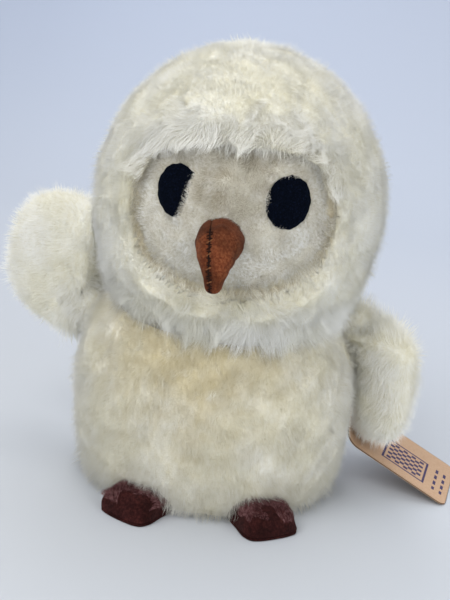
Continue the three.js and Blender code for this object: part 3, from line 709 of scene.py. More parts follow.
def head_style(root, normal):
    radial = unit(root - HEAD)
    share = face_edge(root + radial * 2 * MM)
    elevation, aside = bearing(radial)
    down = unit(-UP + radial * radial[:, 2:3])
    near = smooth((1.5 - share) / 0.5)
    above = smooth((elevation - 10) / 18)
    below = smooth((-18 - elevation) / 14)
    lip = smooth((1.22 - share) / 0.22) * (1 - above)
    lean = down * (0.3 + 0.5 * near * above - 0.2 * lip)[:, None]
    front_ruff = below * smooth((100 - np.abs(aside)) / 50)
    lean += down * (0.2 * front_ruff)[:, None]
    return {
        "keep": (share > HOOD_FROM) & (radial[:, 2] > -0.93),
        "lean": lean,
        "length": COAT_LENGTH * (1.0 + 0.6 * near * above + 0.4 * front_ruff + 0.25 * lip),
        "bright": np.clip(0.2 * smooth(waves(root, 0.03, 31)) + 0.5 * near * above + 0.2 * front_ruff, 0, 1),
        # tan: painted shade in the groove along the face's sides and lower edge
        "tan": 0.8 * smooth((1.1 - share) / 0.1) * (1 - above),
        "shade": unit(normal + 1.2 * radial),
    }


def head_pieces(root):
    radial = unit(root - HEAD)
    crown = radial[:, 2] > 0.6
    behind = np.abs(np.arctan2(radial[:, 0], -radial[:, 1])) > 1.83
    return {"crown": crown, **halved(radial[:, 0] > 0, nape=~crown & behind, cheek=~crown & ~behind)}


dress(ground - dirs * ROOT_DEPTH, ball_faces, head_style, head_pieces, "head", 11)

# The ruff's own long hairs, which hang plumb over the top of the belly
RUFF_COATS = (pile_layer("fringe", 4.2, 0.1, 8, 0.35, 0.55),)
RUFF_HANG = 14 * MM


def scruff(root, seed):
    """An uneven length from hair to hair, between a half and one."""
    return 0.75 + 0.25 * np.sin(1e5 * waves(root, 0.01, seed))


def ruff_style(root, normal):
    radial = unit(root - HEAD)
    elevation, aside = bearing(radial)
    low = 0.55 + 0.45 * smooth((-28 - elevation) / 10)
    front = smooth((112 - np.abs(aside - 3)) / 70)
    return {
        "keep": (elevation < -29 + 4 * waves(root, 0.012, 33)) & (elevation > -47),
        "lean": np.array([0, 0, -1.0]) * (0.3 + 0.6 * smooth((-26 - elevation) / 14))[:, None],
        "length": RUFF_HANG * (0.45 + 0.55 * front) * low * scruff(root, 34),
        "bright": np.clip(0.25 + 0.3 * waves(root, 0.03, 32), 0, 1),
        "tan": 0 * aside,
        "shade": unit(radial + [0, 0, 0.2]),
    }


# Short wool on the slope from the ruff down to the face
LIP_COATS = (pile_layer("wool", 5.0, 0.13, 8, 0.3),)
LIP_LENGTH = 3.2 * MM


def lip_style(root, normal):
    radial = unit(root - HEAD)
    share = face_edge(root)
    return {
        "keep": (share > 0.95) & (share < 1.24),
        "lean": radial * 0.3 - UP * 0.1,
        "length": LIP_LENGTH * scruff(root, 37),
        "bright": 0 * share,
        # tan: painted shade in the groove at the face's edge
        "tan": 0.75 * bell((share - 1.0) / 0.12),
        "shade": unit(normal + 1.5 * radial),
    }


BROW_COATS = (pile_layer("fringe", 5.4, 0.09, 6, 0.22, 0.75),)
BROW_HANG = 8 * MM


def brow_style(root, normal):
    """The soft white hairs over the top of the face."""
    radial = unit(root - HEAD)
    share = face_edge(root + radial * 2 * MM)
    elevation, aside = bearing(radial)
    aside = np.abs(aside)
    ends = smooth((58 - aside) / 26)
    over_face = (share > 1.0) & (share < 1.42 + 0.1 * waves(root, 0.012, 35))
    return {
        "keep": over_face & (elevation > 14) & (aside < 58),
        "lean": np.array([0, -0.15, -0.75]) * np.ones((len(root), 1)),
        "length": BROW_HANG * (0.5 + 0.5 * ends) * scruff(root, 36),
        "bright": 0.5 + 0 * share,
        "tan": 0 * share,
        "shade": unit(radial + [0, -0.2, 0.15]),
    }


def ruff_pieces(root):
    return halved(root[:, 0] > HEAD[0], ruff=True)


dress(ground - dirs * (0.3 * MM), ball_faces, lip_style, whole("lip"), "head", 251, LIP_COATS)
roots = head_points(dirs, SKIN_DEPTH + ROOT_DEPTH)
dress(roots, ball_faces, brow_style, whole("brow"), "head", 231, BROW_COATS)
dress(roots, ball_faces, ruff_style, ruff_pieces, "head", 211, RUFF_COATS)

# Clipped pile of the face
EYES = {"left": np.array([21.0, 0, 10.5]) * MM, "right": np.array([-21.0, 0, 10.5]) * MM}
EYE_HALF = (8.2 * MM, 10 * MM)


def eye_share(points, side):
    d = points - HEAD - EYES[side]
    return np.hypot(d[:, 0] / EYE_HALF[0], d[:, 2] / EYE_HALF[1])


def under_pile(points):
    """Where the pile lies over the inner side of the owl's right eye."""
    beside = points - HEAD - EYES["right"]
    past = smooth((beside[:, 0] - 0.25 * beside[:, 2] - 2.4 * MM) / (1.6 * MM))
    return past * (eye_share(points, "right") < 1.15)


FACE_COATS = (pile_layer("pile", 7.5, 0.15, 4, 0.5, 0.6),)
FACE_LENGTH = 3.2 * MM


def face_style(root, normal):
    local = root - HEAD
    share, over = face_edge(root), under_pile(root)
    beside_eyes = (eye_share(root, "left") > 0.98) & ((eye_share(root, "right") > 1) | (over > 0.5))
    out = unit(np.stack([local[:, 0] + 3 * MM, 0 * share, local[:, 2] + 2 * MM], 1))
    # Painted shade: the brow's shadow over the upper face, and the face's rim at the edge of its recess
    brow_shadow = smooth((local[:, 2] + 10 * MM) / (20 * MM)) * bell(local[:, 0] / (40 * MM))
    rim = smooth((share - 0.84) / 0.16)
    low = smooth(-local[:, 2] / (18 * MM))
    return {
        "keep": (share < FACE_TO) & beside_eyes,
        "lean": 0.35 * out + np.array([-0.9, -0.1, -0.1]) * over[:, None],
        "length": FACE_LENGTH * (1 + 0.1 * over + 0.5 * smooth((share - 0.8) / 0.2)),
        "bright": np.clip(0.15 * smooth(waves(root, 0.02, 61)) + 0.7 * low, 0, 1),
        "tan": np.clip(0.7 * rim + 0.8 * brow_shadow + 0.15 * waves(root, 0.008, 62), 0, 1),
        "shade": unit(local),
    }


def face_pieces(root):
    return halved(root[:, 0] - HEAD[0] > 0, face=True)


front = faces_where(ball_faces, edge < 1.06)
dress(
    face_points(dirs, 1.0 * MM), front, face_style, face_pieces, "head", 41, FACE_COATS,
    mat=FACE, rough=0.7,
)


# Eyes

EYE_RINGS = 24
EYE_COLUMNS = 96
EYE_THICKNESS = 1.3 * MM
EYE_PROUD = 0.3 * MM
EYE_BED = 0.6 * MM
EYE_SUNK = 3.6 * MM  # how far the pile presses the felt down where it lies over it
for side in ("left", "right"):
    turn = turns(EYE_COLUMNS)
    ragged = 1 + 0.012 * np.sin(9 * turn + 1) + 0.01 * np.sin(17 * turn)
    shares = np.sin(np.linspace(0, math.pi / 2, EYE_RINGS + 1))[1:]
    reach = shares[:, None] * np.where(shares[:, None] > 0.9, ragged, 1)
    rings = np.stack([np.cos(turn) * reach * EYE_HALF[0], 0 * reach, np.sin(turn) * reach * EYE_HALF[1]], 2)
    disc = np.concatenate([[[0, 0, 0]], rings.reshape(-1, 3)]) + EYES[side]
    ahead = np.sqrt(FACE_RADIUS**2 - disc[:, 0] ** 2 - disc[:, 2] ** 2)
    d = unit(np.stack([disc[:, 0], -ahead, disc[:, 2]], 1))
    s = np.concatenate([[0], np.repeat(shares, EYE_COLUMNS)])
    thick = EYE_THICKNESS * (1 - smooth((s - 0.8) / 0.2) * 0.6)
    level = shell_radius(d) - FACE_RECESS
    sunk = EYE_SUNK * under_pile(HEAD + d * level[:, None]) * (side == "right")
    top = HEAD + d * (level + EYE_PROUD + thick - sunk)[:, None]
    bottom = HEAD + d * (level - EYE_BED - sunk)[:, None]
    verts, faces = two_sided(top, bottom, fan_faces(EYE_RINGS, EYE_COLUMNS))
    patch = make_object(f"{side}_eye_felt", verts, faces, FELT, "head")
    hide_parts(f"{side}_eye")


# Solids through rows of points


def capped(rings):
    """Vertices and faces of a closed solid through rings of points, each end closed round its middle."""
    rows, columns = rings.shape[:2]
    n = rows * columns
    verts = np.concatenate([rings.reshape(-1, 3), [rings[0].mean(0), rings[-1].mean(0)]])
    i = np.arange(columns)
    j = (i + 1) % columns
    low = np.stack([j, i, 0 * i + n], 1)
    high = np.stack([n - columns + i, n - columns + j, 0 * i + n + 1], 1)
    return verts, [grid_faces(rows, columns, True), np.concatenate([low, high])]


def catmull(points, count, closed=False):
    """Points along a smooth curve through the given ones."""
    points = np.asarray(points, float)
    n = len(points)
    spans = n if closed else n - 1
    t = np.linspace(0, spans, count, endpoint=not closed)
    k = np.minimum(t.astype(int), spans - 1)
    f = (t - k)[:, None]
    pick = (lambda i: points[i % n]) if closed else (lambda i: points[np.clip(i, 0, n - 1)])
    a, b, c, d = pick(k - 1), pick(k), pick(k + 1), pick(k + 2)
    return 0.5 * (2 * b + (c - a) * f + (2 * a - 5 * b + 4 * c - d) * f**2 + (3 * b - a - 3 * c + d) * f**3)


def tube(points, radius, sides=6):
    """A rounded thread through points, as a closed solid."""
    points = np.asarray(points, float)
    along = unit(np.gradient(points, axis=0))
    side = unit(np.cross(along, np.array([0.31, 0.17, 0.93])))
    other = np.cross(along, side)
    turn = turns(sides)
    ends = np.ones(len(points))
    ends[[0, -1]] = 0.45
    ring = side[:, None] * np.cos(turn)[None, :, None] + other[:, None] * np.sin(turn)[None, :, None]
    return capped(points[:, None] + ring * (radius * ends)[:, None, None])


def joined(parts):
    """Several solids as one list of vertices and faces."""
    verts, sizes, start = [], {}, 0
    for v, faces in parts:
        verts.append(v)
        for f in faces:
            sizes.setdefault(f.shape[1], []).append(f + start)
        start += len(v)
    return np.concatenate(verts), [np.concatenate(f) for f in sizes.values()]


# Beak: two suede panels sewn along the front

BEAK_ROOT = HEAD + np.array([-3.0, -50.0, -5.0]) * MM
BEAK_BEND = HEAD + np.array([-3.0, -70.0, -5.0]) * MM
BEAK_TIP = HEAD + np.array([-3.0, -70.0, -22.0]) * MM
# Shares of the beak's half width and half depth, at even steps from root to tip
BEAK_WIDTHS = [0.9, 1, 0.98, 0.86, 0.7, 0.52, 0.36, 0.27]
BEAK_DEPTHS = [1, 1, 0.95, 0.85, 0.68, 0.5, 0.34, 0.22]
BEAK_HALF_WIDTH = 9 * MM
BEAK_HALF_DEPTH = 8 * MM
BEAK_TIP_HALF_WIDTH = 2.4 * MM
BEAK_FILLING_INSET = 1.4 * MM
BEAK_WRINKLE = 0.18 * MM
SEAM_PINCH = 0.55 * MM
SEAM_RADIUS = 0.4 * MM
STITCH_RADIUS = 0.26 * MM
SEAM_TURN = 0.42  # the seam runs a little to the owl's right of the ridge


def beak_puff(t):
    """How far the filling swells the suede, most of all below the beak's middle."""
    return MM * (0.4 + 0.6 * bell(np.array((t - 0.72) / 0.26)))


def beak_frame(t):
    a, b, c = BEAK_ROOT, BEAK_BEND, BEAK_TIP
    point = (1 - t) ** 2 * a + 2 * t * (1 - t) * b + t**2 * c
    along = unit((1 - t) * (b - a) + t * (c - b))
    return point, along, np.cross(along, [1, 0, 0])


def beak_row(t, angles, inset):
    """Points across the beak at a share of its length. Angles run from its underside round to its ridge."""
    at = np.linspace(0, 1, len(BEAK_WIDTHS))
    reach = min(t, 1)
    point, along, up = beak_frame(reach)
    rounding = math.sqrt(max(1 - ((t - 0.95) / 0.09) ** 2, 0.0)) if t > 0.95 else 1
    point = point + along * max(t - 1, 0) * 20 * MM
    half_width = max(BEAK_TIP_HALF_WIDTH, BEAK_HALF_WIDTH * np.interp(reach, at, BEAK_WIDTHS)) * rounding
    half_depth = BEAK_HALF_DEPTH * np.interp(reach, at, BEAK_DEPTHS) * rounding
    ridge = np.abs(np.sin(angles - SEAM_TURN)) ** 24
    pinch = SEAM_PINCH * ridge * smooth((1.02 - t) / 0.1)
    across = np.cos(angles)[:, None] * (half_width - inset) * np.array([1, 0, 0])
    rise = (np.sin(angles) * (half_depth - inset - pinch))[:, None] * up
    wrinkle = BEAK_WRINKLE * waves(point + across + rise, 0.006, 71)[:, None]
    return point + across + rise + wrinkle * unit(across + rise)


BEAK_ROWS = np.concatenate([np.linspace(0, 0.95, 30), [0.97, 0.99, 1.005, 1.02, 1.03, 1.037]])
for side, middle in (("left", SEAM_TURN), ("right", SEAM_TURN + math.pi)):
    turn = middle + np.linspace(0.03 - math.pi / 2, math.pi / 2 - 0.03, 25)
    outer = np.array([beak_row(t, turn, -beak_puff(t)) for t in BEAK_ROWS])
    inner = np.array([beak_row(t, turn, BEAK_FILLING_INSET) for t in BEAK_ROWS])
    verts, faces = shell(outer, inner)
    # Painted shade: darker near the beak's root, and low down beside the seam
    rim = smooth(1 - (BEAK_ROWS - 0.28) / 0.12)
    seam_side = smooth(1 - np.abs(turn - SEAM_TURN - math.pi / 2) / 0.9)
    low = smooth((BEAK_ROWS - 0.45) / 0.4)
    dark = np.maximum(0.6 * rim[:, None], 0.85 * low[:, None] * seam_side)
    darkness = {"tan": np.tile(dark.ravel(), 2)}
    panel = make_object(f"{side}_beak_suede", verts, faces, BEAK_SUEDE, "head", darkness)
    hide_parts(f"beak_{side}_panel")


def on_beak(t, angle, proud):
    """A point on the suede, or a little over it."""
    return beak_row(min(t, 1.0), np.array([angle]), -beak_puff(t) - proud)[0]


SEAM_ANGLE = math.pi / 2 + SEAM_TURN
stitches, loops = [], []
for k, t in enumerate(np.linspace(0.34, 1.0, 19)):
    reach = 0.15 + 0.2 * smooth((t - 0.6) / 0.4)
    slant = 0.014 if k % 2 else -0.006
    ends = [(t - slant, SEAM_ANGLE - reach), (t, SEAM_ANGLE), (t + slant, SEAM_ANGLE + reach)]
    line = [on_beak(at, angle, 0.1 * MM) for at, angle in ends]
    (loops if k % 4 == 3 else stitches).append(tube(catmull(line, 7), STITCH_RADIUS))
seam = [on_beak(t, SEAM_ANGLE, -0.1 * MM) for t in np.linspace(0.28, 1.0, 60)]
stitches.append(tube(seam, SEAM_RADIUS))
for name, parts, mat in (("beak_pale_stitches", loops, PALE_THREAD), ("beak_stitches", stitches, THREAD)):
    verts, faces = joined(parts)
    thread = make_object(name, verts, faces, mat, "head")


# Body

BODY_HALF_WIDTH = 61 * MM
FEET_ASIDE = 2 * MM
FOOT_SPACING = 50 * MM
BODY_DEPTH_SHARE = 54 / 61
BODY_HEIGHT = 98 * MM
BODY_FLOOR = 0.4 * MM
BELLY_SWELL = 3 * MM
HAIR_FLOOR = 0.5 * MM
BODY_OUTLINE = [  # shares of the height, and of the half width there
    [0, 0.84], [0.05, 0.92], [0.18, 0.985], [0.36, 1.01], [0.55, 1],
    [0.72, 0.94], [0.84, 0.83], [0.93, 0.63], [1, 0.3],
]


def body_rings(inset, lowest):
    rows, columns = 90, 240
    side = catmull(np.array(BODY_OUTLINE)[:, ::-1] * [BODY_HALF_WIDTH, BODY_HEIGHT], rows)
    along = unit(np.gradient(side, axis=0))
    side = side + np.stack([-along[:, 1], along[:, 0]], 1) * inset
    side[0, 1] = lowest
    side[:, 1] = np.maximum(side[:, 1], lowest)
    turn = turns(columns)
    x = side[:, :1] * np.cos(turn)
    y = side[:, :1] * np.sin(turn)
    z = np.broadcast_to(side[:, 1:], x.shape)
    swell = BELLY_SWELL * bell(2 * z / BODY_HEIGHT - 1)
    return np.stack([x, y * BODY_DEPTH_SHARE - swell, z], 2)


# The head's nods and turns, in degrees
SWING = [(n, t) for n in (-7, 0, 7) for t in (-25, -12, 0, 12, 25)]


def clear_of_head(points, margin):
    """Points inside the room that the head swings in, moved out to its edge."""
    local = points - HEAD
    d = unit(local)
    most = np.zeros(len(points))
    for nod, turn in SWING:
        turned = np.roll(d @ spin(math.radians(turn)).T, -1, 1)
        nodded = np.roll(turned @ spin(math.radians(nod)).T, 1, 1)
        most = np.maximum(most, head_radius(nodded))
    reach = np.linalg.norm(local, axis=1)
    return HEAD + d * np.maximum(reach, most + margin)[:, None]


def painted_belly_shade(points):
    """Painted shade on the belly's fur: a little over all its front, more over its upper middle under the
    head, and down a fold that runs from there.
    """
    up = smooth((points[:, 2] - 18 * MM) / (50 * MM))
    wide = bell((points[:, 0] + 6 * MM) / (58 * MM)) * up
    fold = bell((points[:, 0] + 9 * MM - 0.1 * points[:, 2]) / (11 * MM))
    fold *= smooth((points[:, 2] - 10 * MM) / (20 * MM))
    top = smooth((points[:, 2] - 44 * MM) / (30 * MM))
    # Painted shade: a little over all the front, more under the head and in the fold, with some random tone
    shade_amount = 0.18 + wide * (0.5 + 0.38 * top + 0.1 * waves(points, 0.02, 82)) + 0.25 * fold
    return np.clip(shade_amount * (points[:, 1] < 0), 0, 1)


rings = body_rings(SKIN_DEPTH, BODY_FLOOR)
verts, faces = capped(rings)
middle = verts.mean(0)
verts += unit(verts - middle) * woolly(verts, 6)[:, None]
verts[:, 2] = np.maximum(verts[:, 2], BODY_FLOOR)
verts = clear_of_head(verts, 0.5 * MM)
skin = make_object("body_underfur", verts, faces, SKIN, "torso", {"tan": painted_belly_shade(verts)})
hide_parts("body_cover")


def body_trim(root, mid, tip):
    """Strands drawn back until their tips are clear of the head and the ground, and which are left."""
    share = np.ones(len(root))
    for _ in range(4):
        inside = inside_head(root + (tip - root) * share[:, None], 2 * MM)
        share = np.where(inside, share * 0.7, share)
    mid, tip = (root + (points - root) * share[:, None] for points in (mid, tip))
    keep = ~inside_head(tip, 2 * MM)
    for points in (mid, tip):
        points[:, 2] = np.maximum(points[:, 2], HAIR_FLOOR)
    return mid, tip, keep


def body_style(root, normal):
    height = root[:, 2]
    clear = np.linalg.norm(root + normal * 2 * MM - HEAD, axis=1) > HEAD_RADIUS
    hem = smooth((20 * MM - height) / (20 * MM))
    beside = np.abs(np.abs(root[:, 0] - FEET_ASIDE) - FOOT_SPACING / 2)
    over_foot = bell(beside / (16 * MM)) * (root[:, 1] < 0) * smooth((24 * MM - height) / (6 * MM))
    wool = 0.25 * waves(root, 0.006, 83)
    return {
        "keep": clear & (height > 1 * MM),
        "lean": np.array([0, 0, -1.0]) * (0.5 + 0.2 * hem - 0.35 * over_foot)[:, None],
        "length": COAT_LENGTH * (1.05 + 0.12 * waves(root, 0.03, 77) + 0.9 * hem + 0.4 * over_foot),
        # bright: random whiter patches, and the hem painted lighter, as painted light standing in for light
        # from the floor
        "bright": np.clip(0.15 * smooth(waves(root, 0.028, 81)) + 0.2 * hem, 0, 1),
        "tan": np.clip(painted_belly_shade(root) * (1 + wool), 0, 1.15),
        "shade": normal,
    }


def body_pieces(root):
    belly = root[:, 1] < 0
    return halved(root[:, 0] > 0, belly=belly, back=~belly)


rings = body_rings(SKIN_DEPTH + ROOT_DEPTH, 2 * MM)
surface = [grid_faces(*rings.shape[:2], True)]
dress(rings.reshape(-1, 3), surface, body_style, body_pieces, "torso", 31, trim=body_trim)


# Wings

SHOULDER = np.array([58, 8, 74]) * MM
SHOULDER_RADIUS = 12 * MM
WING_LENGTH = 55 * MM
WING_HALF_THICKNESS = 12.5 * MM
# How far the wing has grown from shoulder to full size, over its length
WING_GROWTH = np.array([[0, 0], [0.05, 0.5], [0.12, 0.85], [0.25, 1], [1, 1]])
WINGS = {
    "left": {"side": 1, "turns": (-70, 10, 68), "chord": 28 * MM, "rise": 5 * MM, "bow": 7.5 * MM},
    "right": {"side": -1, "turns": (20, 33, -6), "chord": 36 * MM, "rise": 11 * MM, "bow": 0},
}


def wing_points(d, inset, wing):
    """The wing's surface in its own frame: +X from the shoulder to the tip, Z along the chord."""
    ball = SHOULDER_RADIUS - inset
    ahead = np.maximum(d[:, 0], 0)
    reach = 1 - (1 - ahead) ** 1.5
    grown = np.interp(reach, *WING_GROWTH.T)
    taper = (1 - reach**3.2) ** (1 / 3.2) / np.maximum(np.hypot(d[:, 1], d[:, 2]), 1e-9)
    chord = ball + (wing["chord"] - SHOULDER_RADIUS) * grown
    thickness = ball + (WING_HALF_THICKNESS - SHOULDER_RADIUS) * grown
    bowed = wing["bow"] * np.sin(math.pi * np.sqrt(reach)) ** 2
    lifted = wing["rise"] * grown * (1 - reach)
    y = d[:, 1] * thickness * taper + bowed
    z = d[:, 2] * chord * taper + lifted
    return np.where(d[:, :1] > 0, np.stack([reach * (WING_LENGTH - inset), y, z], 1), d * ball)


def wing_matrix(side, lift, sweep, twist):
    lift, sweep, twist = (math.radians(a) for a in (lift, sweep, twist))
    level = math.cos(lift)
    along = np.array([side * level * math.cos(sweep), level * math.sin(sweep), math.sin(lift)])
    chord = unit(UP - along * along[2])
    chord = chord * math.cos(twist) + np.cross(along, chord) * math.sin(twist)
    through = np.cross(chord, along)
    return np.stack([along, through, chord], 1), SHOULDER * [side, 1, 1]


def body_reach(points):
    """How far out points lie from the body's axis, as a share of its outline at their height."""
    side = catmull(np.array(BODY_OUTLINE), 60)
    swell = BELLY_SWELL * bell(2 * points[:, 2] / BODY_HEIGHT - 1)
    out = np.hypot(points[:, 0], (points[:, 1] + swell) / BODY_DEPTH_SHARE) / BODY_HALF_WIDTH
    edge = np.interp(points[:, 2] / BODY_HEIGHT, side[:, 0], side[:, 1], right=0)
    return out / np.maximum(edge, 0.05)


for name, wing in WINGS.items():
    turn, shoulder = wing_matrix(wing["side"], *wing["turns"])
    ball, wing_faces = ball_grid(160, 112)
    ball = ball[:, [2, 0, 1]]
    verts = wing_points(ball, SKIN_DEPTH, wing) @ turn.T + shoulder
    verts += vertex_normals(verts, triangles(wing_faces)) * woolly(verts, 8)[:, None]
    verts = clear_of_head(verts, 1 * MM)
    skin = make_object(f"{name}_wing_underfur", verts, wing_faces, SKIN, f"{name}_wing")
    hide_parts(f"{name}_wing_cover")

    def wing_style(root, normal):
        flow = (root - shoulder) @ turn
        out = unit(turn[:, 0] + (flow[:, 2:3] / wing["chord"] * 0.5) * turn[:, 2])
        inner = smooth((18 * MM - flow[:, 0]) / (14 * MM))[:, None]
        tip = smooth((flow[:, 0] - 30 * MM) / (20 * MM))
        clear = np.linalg.norm(root - HEAD, axis=1) > HEAD_RADIUS - 3 * MM
        return {
            "keep": (body_reach(root) > 0.88) & clear,
            "lean": (out * 0.45 - UP * 0.2) * (1 - inner) - turn[:, 0] * 0.4 * inner,
            "length": COAT_LENGTH * (1.1 + 0.12 * waves(root, 0.02, 91) + 0.9 * inner[:, 0] + 0.1 * tip),
            "bright": np.clip(0.35 + 0.3 * waves(root, 0.03, 92), 0, 1),
            "tan": 0 * tip,
            "shade": unit(normal + [0.1, -0.45, 0.45]),
        }

    base = wing_points(ball, SKIN_DEPTH + ROOT_DEPTH, wing) @ turn.T + shoulder
    dress(base, wing_faces, wing_style, whole(f"{name}_wing"), f"{name}_wing", 60 + wing["side"])


# Feet

# Half the sole's outline from heel to toe, as shares of its half width and length
SOLE_OUTLINE = np.array([[0, 0], [0.62, 0.03], [0.86, 0.22], [0.95, 0.55], [1, 0.8], [0.78, 0.96], [0, 1]])
FOOT_HALF_WIDTH = 12.5 * MM
FOOT_LENGTH = 30 * MM
FOOT_HEIGHT = 12 * MM
FOOT_FORWARD = 45.5 * MM
FOOT_SPLAY = 33
FOOT_COLUMNS = 64
FOOT_SEAM = 1.7 * MM  # where the upper ends, over the sole
FOOT_OUTSIDE = 0.2 * MM
FOOT_INSIDE = 1.5 * MM
SOLE_LAYERS = [(0.7, 0.05), (0.3, 0.3), (0.3, 1.1), (0.7, 1.4)]  # inset and height, in mm


def sole_outline(inset):
    half = SOLE_OUTLINE * [FOOT_HALF_WIDTH - inset, FOOT_LENGTH - 2 * inset] + [0, inset]
    ring = np.concatenate([half, half[-2:0:-1] * [-1, 1]])
    flat = catmull(ring * [1, -1], FOOT_COLUMNS, closed=True)
    return np.concatenate([flat, np.zeros((len(flat), 1))], 1)


def foot_rings(inset):
    rows = 18
    outline = sole_outline(inset)
    centre = np.array([0, -FOOT_LENGTH / 2, 0])
    rings = []
    for k in range(rows):
        rise = math.sin(math.pi / 2 * k / rows)
        width = (1 - rise**2.6) ** (1 / 2.6)
        ring = centre + (outline - centre) * width
        ring[:, 2] = max(rise * (FOOT_HEIGHT - inset), FOOT_SEAM)
        rings.append(ring)
    return np.array(rings)[:, ::-1]


FOOT_TOPS = {}
for name, side in (("left", 1), ("right", -1)):
    turn = spin(math.radians(FOOT_SPLAY * side))
    heel = turn @ np.array([0, FOOT_LENGTH / 2, 0])
    place = np.array([heel[0] + FEET_ASIDE + side * FOOT_SPACING / 2, heel[1] - FOOT_FORWARD, 0])
    outer, inner = foot_rings(FOOT_OUTSIDE), foot_rings(FOOT_INSIDE)
    flat = outer.reshape(-1, 3)
    crease = 0.22 * MM * waves(flat, 0.011, 95 + side) + 0.06 * MM * waves(flat, 0.004, 96 + side)
    away = unit(flat - np.array([0, -FOOT_LENGTH / 2, 2 * MM]))
    above = smooth((flat[:, 2:3] - FOOT_SEAM) / (2 * MM))
    outer = (flat + away * crease[:, None] * above).reshape(outer.shape)
    outer[:, :, 2] = np.maximum(outer[:, :, 2], FOOT_SEAM)
    outer, inner = (rings @ turn.T + place for rings in (outer, inner))
    verts, faces = capped(np.concatenate([inner[::-1], outer]))
    upper = make_object(f"{name}_foot_suede", verts, faces, FOOT_SUEDE, "torso")
    FOOT_TOPS[name] = (verts, faces)
    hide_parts(f"{name}_foot_upper")
    sole = []
    for inset, z in SOLE_LAYERS:
        ring = sole_outline(inset * MM)[::-1].copy()
        ring[:, 2] = z * MM
        sole.append(ring @ turn.T + place)
    verts, faces = capped(np.array(sole))
    piece = make_object(f"{name}_foot_sole_suede", verts, faces, FOOT_SUEDE, "torso")
    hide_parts(f"{name}_foot_sole")


# Loose brown hairs where the feet come out of the pile
FUZZ_LENGTH = 2.6 * MM
FUZZ_LOWEST = 6 * MM
FUZZ_FRONT = -55 * MM
for name, (verts, faces) in FOOT_TOPS.items():
    root, normal = scatter(verts, faces, 7.0, 301)
    keep = (root[:, 2] > FUZZ_LOWEST) & (root[:, 1] > FUZZ_FRONT + 4 * MM * waves(root, 0.008, 98))
    root, normal = root[keep], normal[keep]
    length = FUZZ_LENGTH * scruff(root, 301)
    lean = np.array([0, -0.3, 0.2])
    mid, tip, width = grow(root, normal, length, lean, 0.11 * MM, 302, clump=6, pull=0.3, stir=0.5)
    piece = strand_object(
        f"{name}_foot_fuzz", FOOT_FUZZ, "torso", root, mid, tip, width, normal, {}, rough=0.4
    )


# Swing tag

TAG_LENGTH = 66 * MM
TAG_HALF_WIDTH = 22 * MM
TAG_THICKNESS = 0.6 * MM
TAG_CORNER = 4 * MM
TAG_SLOPE = math.radians(25)
TAG_UPRIGHT = math.radians(86)
TAG_YAW = math.radians(-11.5)
TAG_BEND = 10 * MM
TAG_RAMP = 46 * MM
TAG_RIM = 0.25 * MM
TAG_HOLE_RADIUS = 1.2 * MM


def tag_station(walked):
    bent = np.clip(walked - TAG_RAMP, 0, TAG_BEND)
    angle = TAG_SLOPE + (TAG_UPRIGHT - TAG_SLOPE) * bent / TAG_BEND
    radius = TAG_BEND / (TAG_UPRIGHT - TAG_SLOPE)
    ramp_part = min(walked, TAG_RAMP)
    upright = max(walked - TAG_RAMP - TAG_BEND, 0)
    run = ramp_part * math.cos(TAG_SLOPE) + upright * math.cos(TAG_UPRIGHT)
    rise = ramp_part * math.sin(TAG_SLOPE) + upright * math.sin(TAG_UPRIGHT)
    run += radius * (math.sin(angle) - math.sin(TAG_SLOPE))
    rise += radius * (math.cos(TAG_SLOPE) - math.cos(angle))
    lift = TAG_THICKNESS / 2 * math.cos(TAG_SLOPE)
    return np.array([-run, 0, lift + rise]), np.array([math.sin(angle), 0, math.cos(angle)])


TAG_TURN = spin(TAG_YAW)
TAG_HOLE_WALK = TAG_LENGTH - 6 * MM
TAG_HOLE_ACROSS = 12 * MM - TAG_HALF_WIDTH
TIE_PLACE = np.array([BODY_HALF_WIDTH + 3.3 * MM, 14.1 * MM, 0])
hole_point, hole_normal = tag_station(TAG_HOLE_WALK)
hole_place = hole_point + [0, TAG_HOLE_ACROSS, 0]
TAG_PLACE = TIE_PLACE - TAG_TURN @ (hole_place * [1, 1, 0])


def tag_rows():
    """Distances from the far end: close together at the corners, at the bend and round the hole."""
    corner = TAG_CORNER * (1 - np.cos(np.linspace(0.25, math.pi / 2, 7)))
    ramp_part = np.linspace(TAG_CORNER, TAG_RAMP, 30)[1:]
    bend = np.linspace(TAG_RAMP, TAG_RAMP + TAG_BEND, 14)[1:]
    near_end = [TAG_LENGTH - TAG_RIM, TAG_LENGTH]
    return np.concatenate([[0, TAG_RIM], corner, ramp_part, bend, TAG_LENGTH - corner[::-1], near_end])


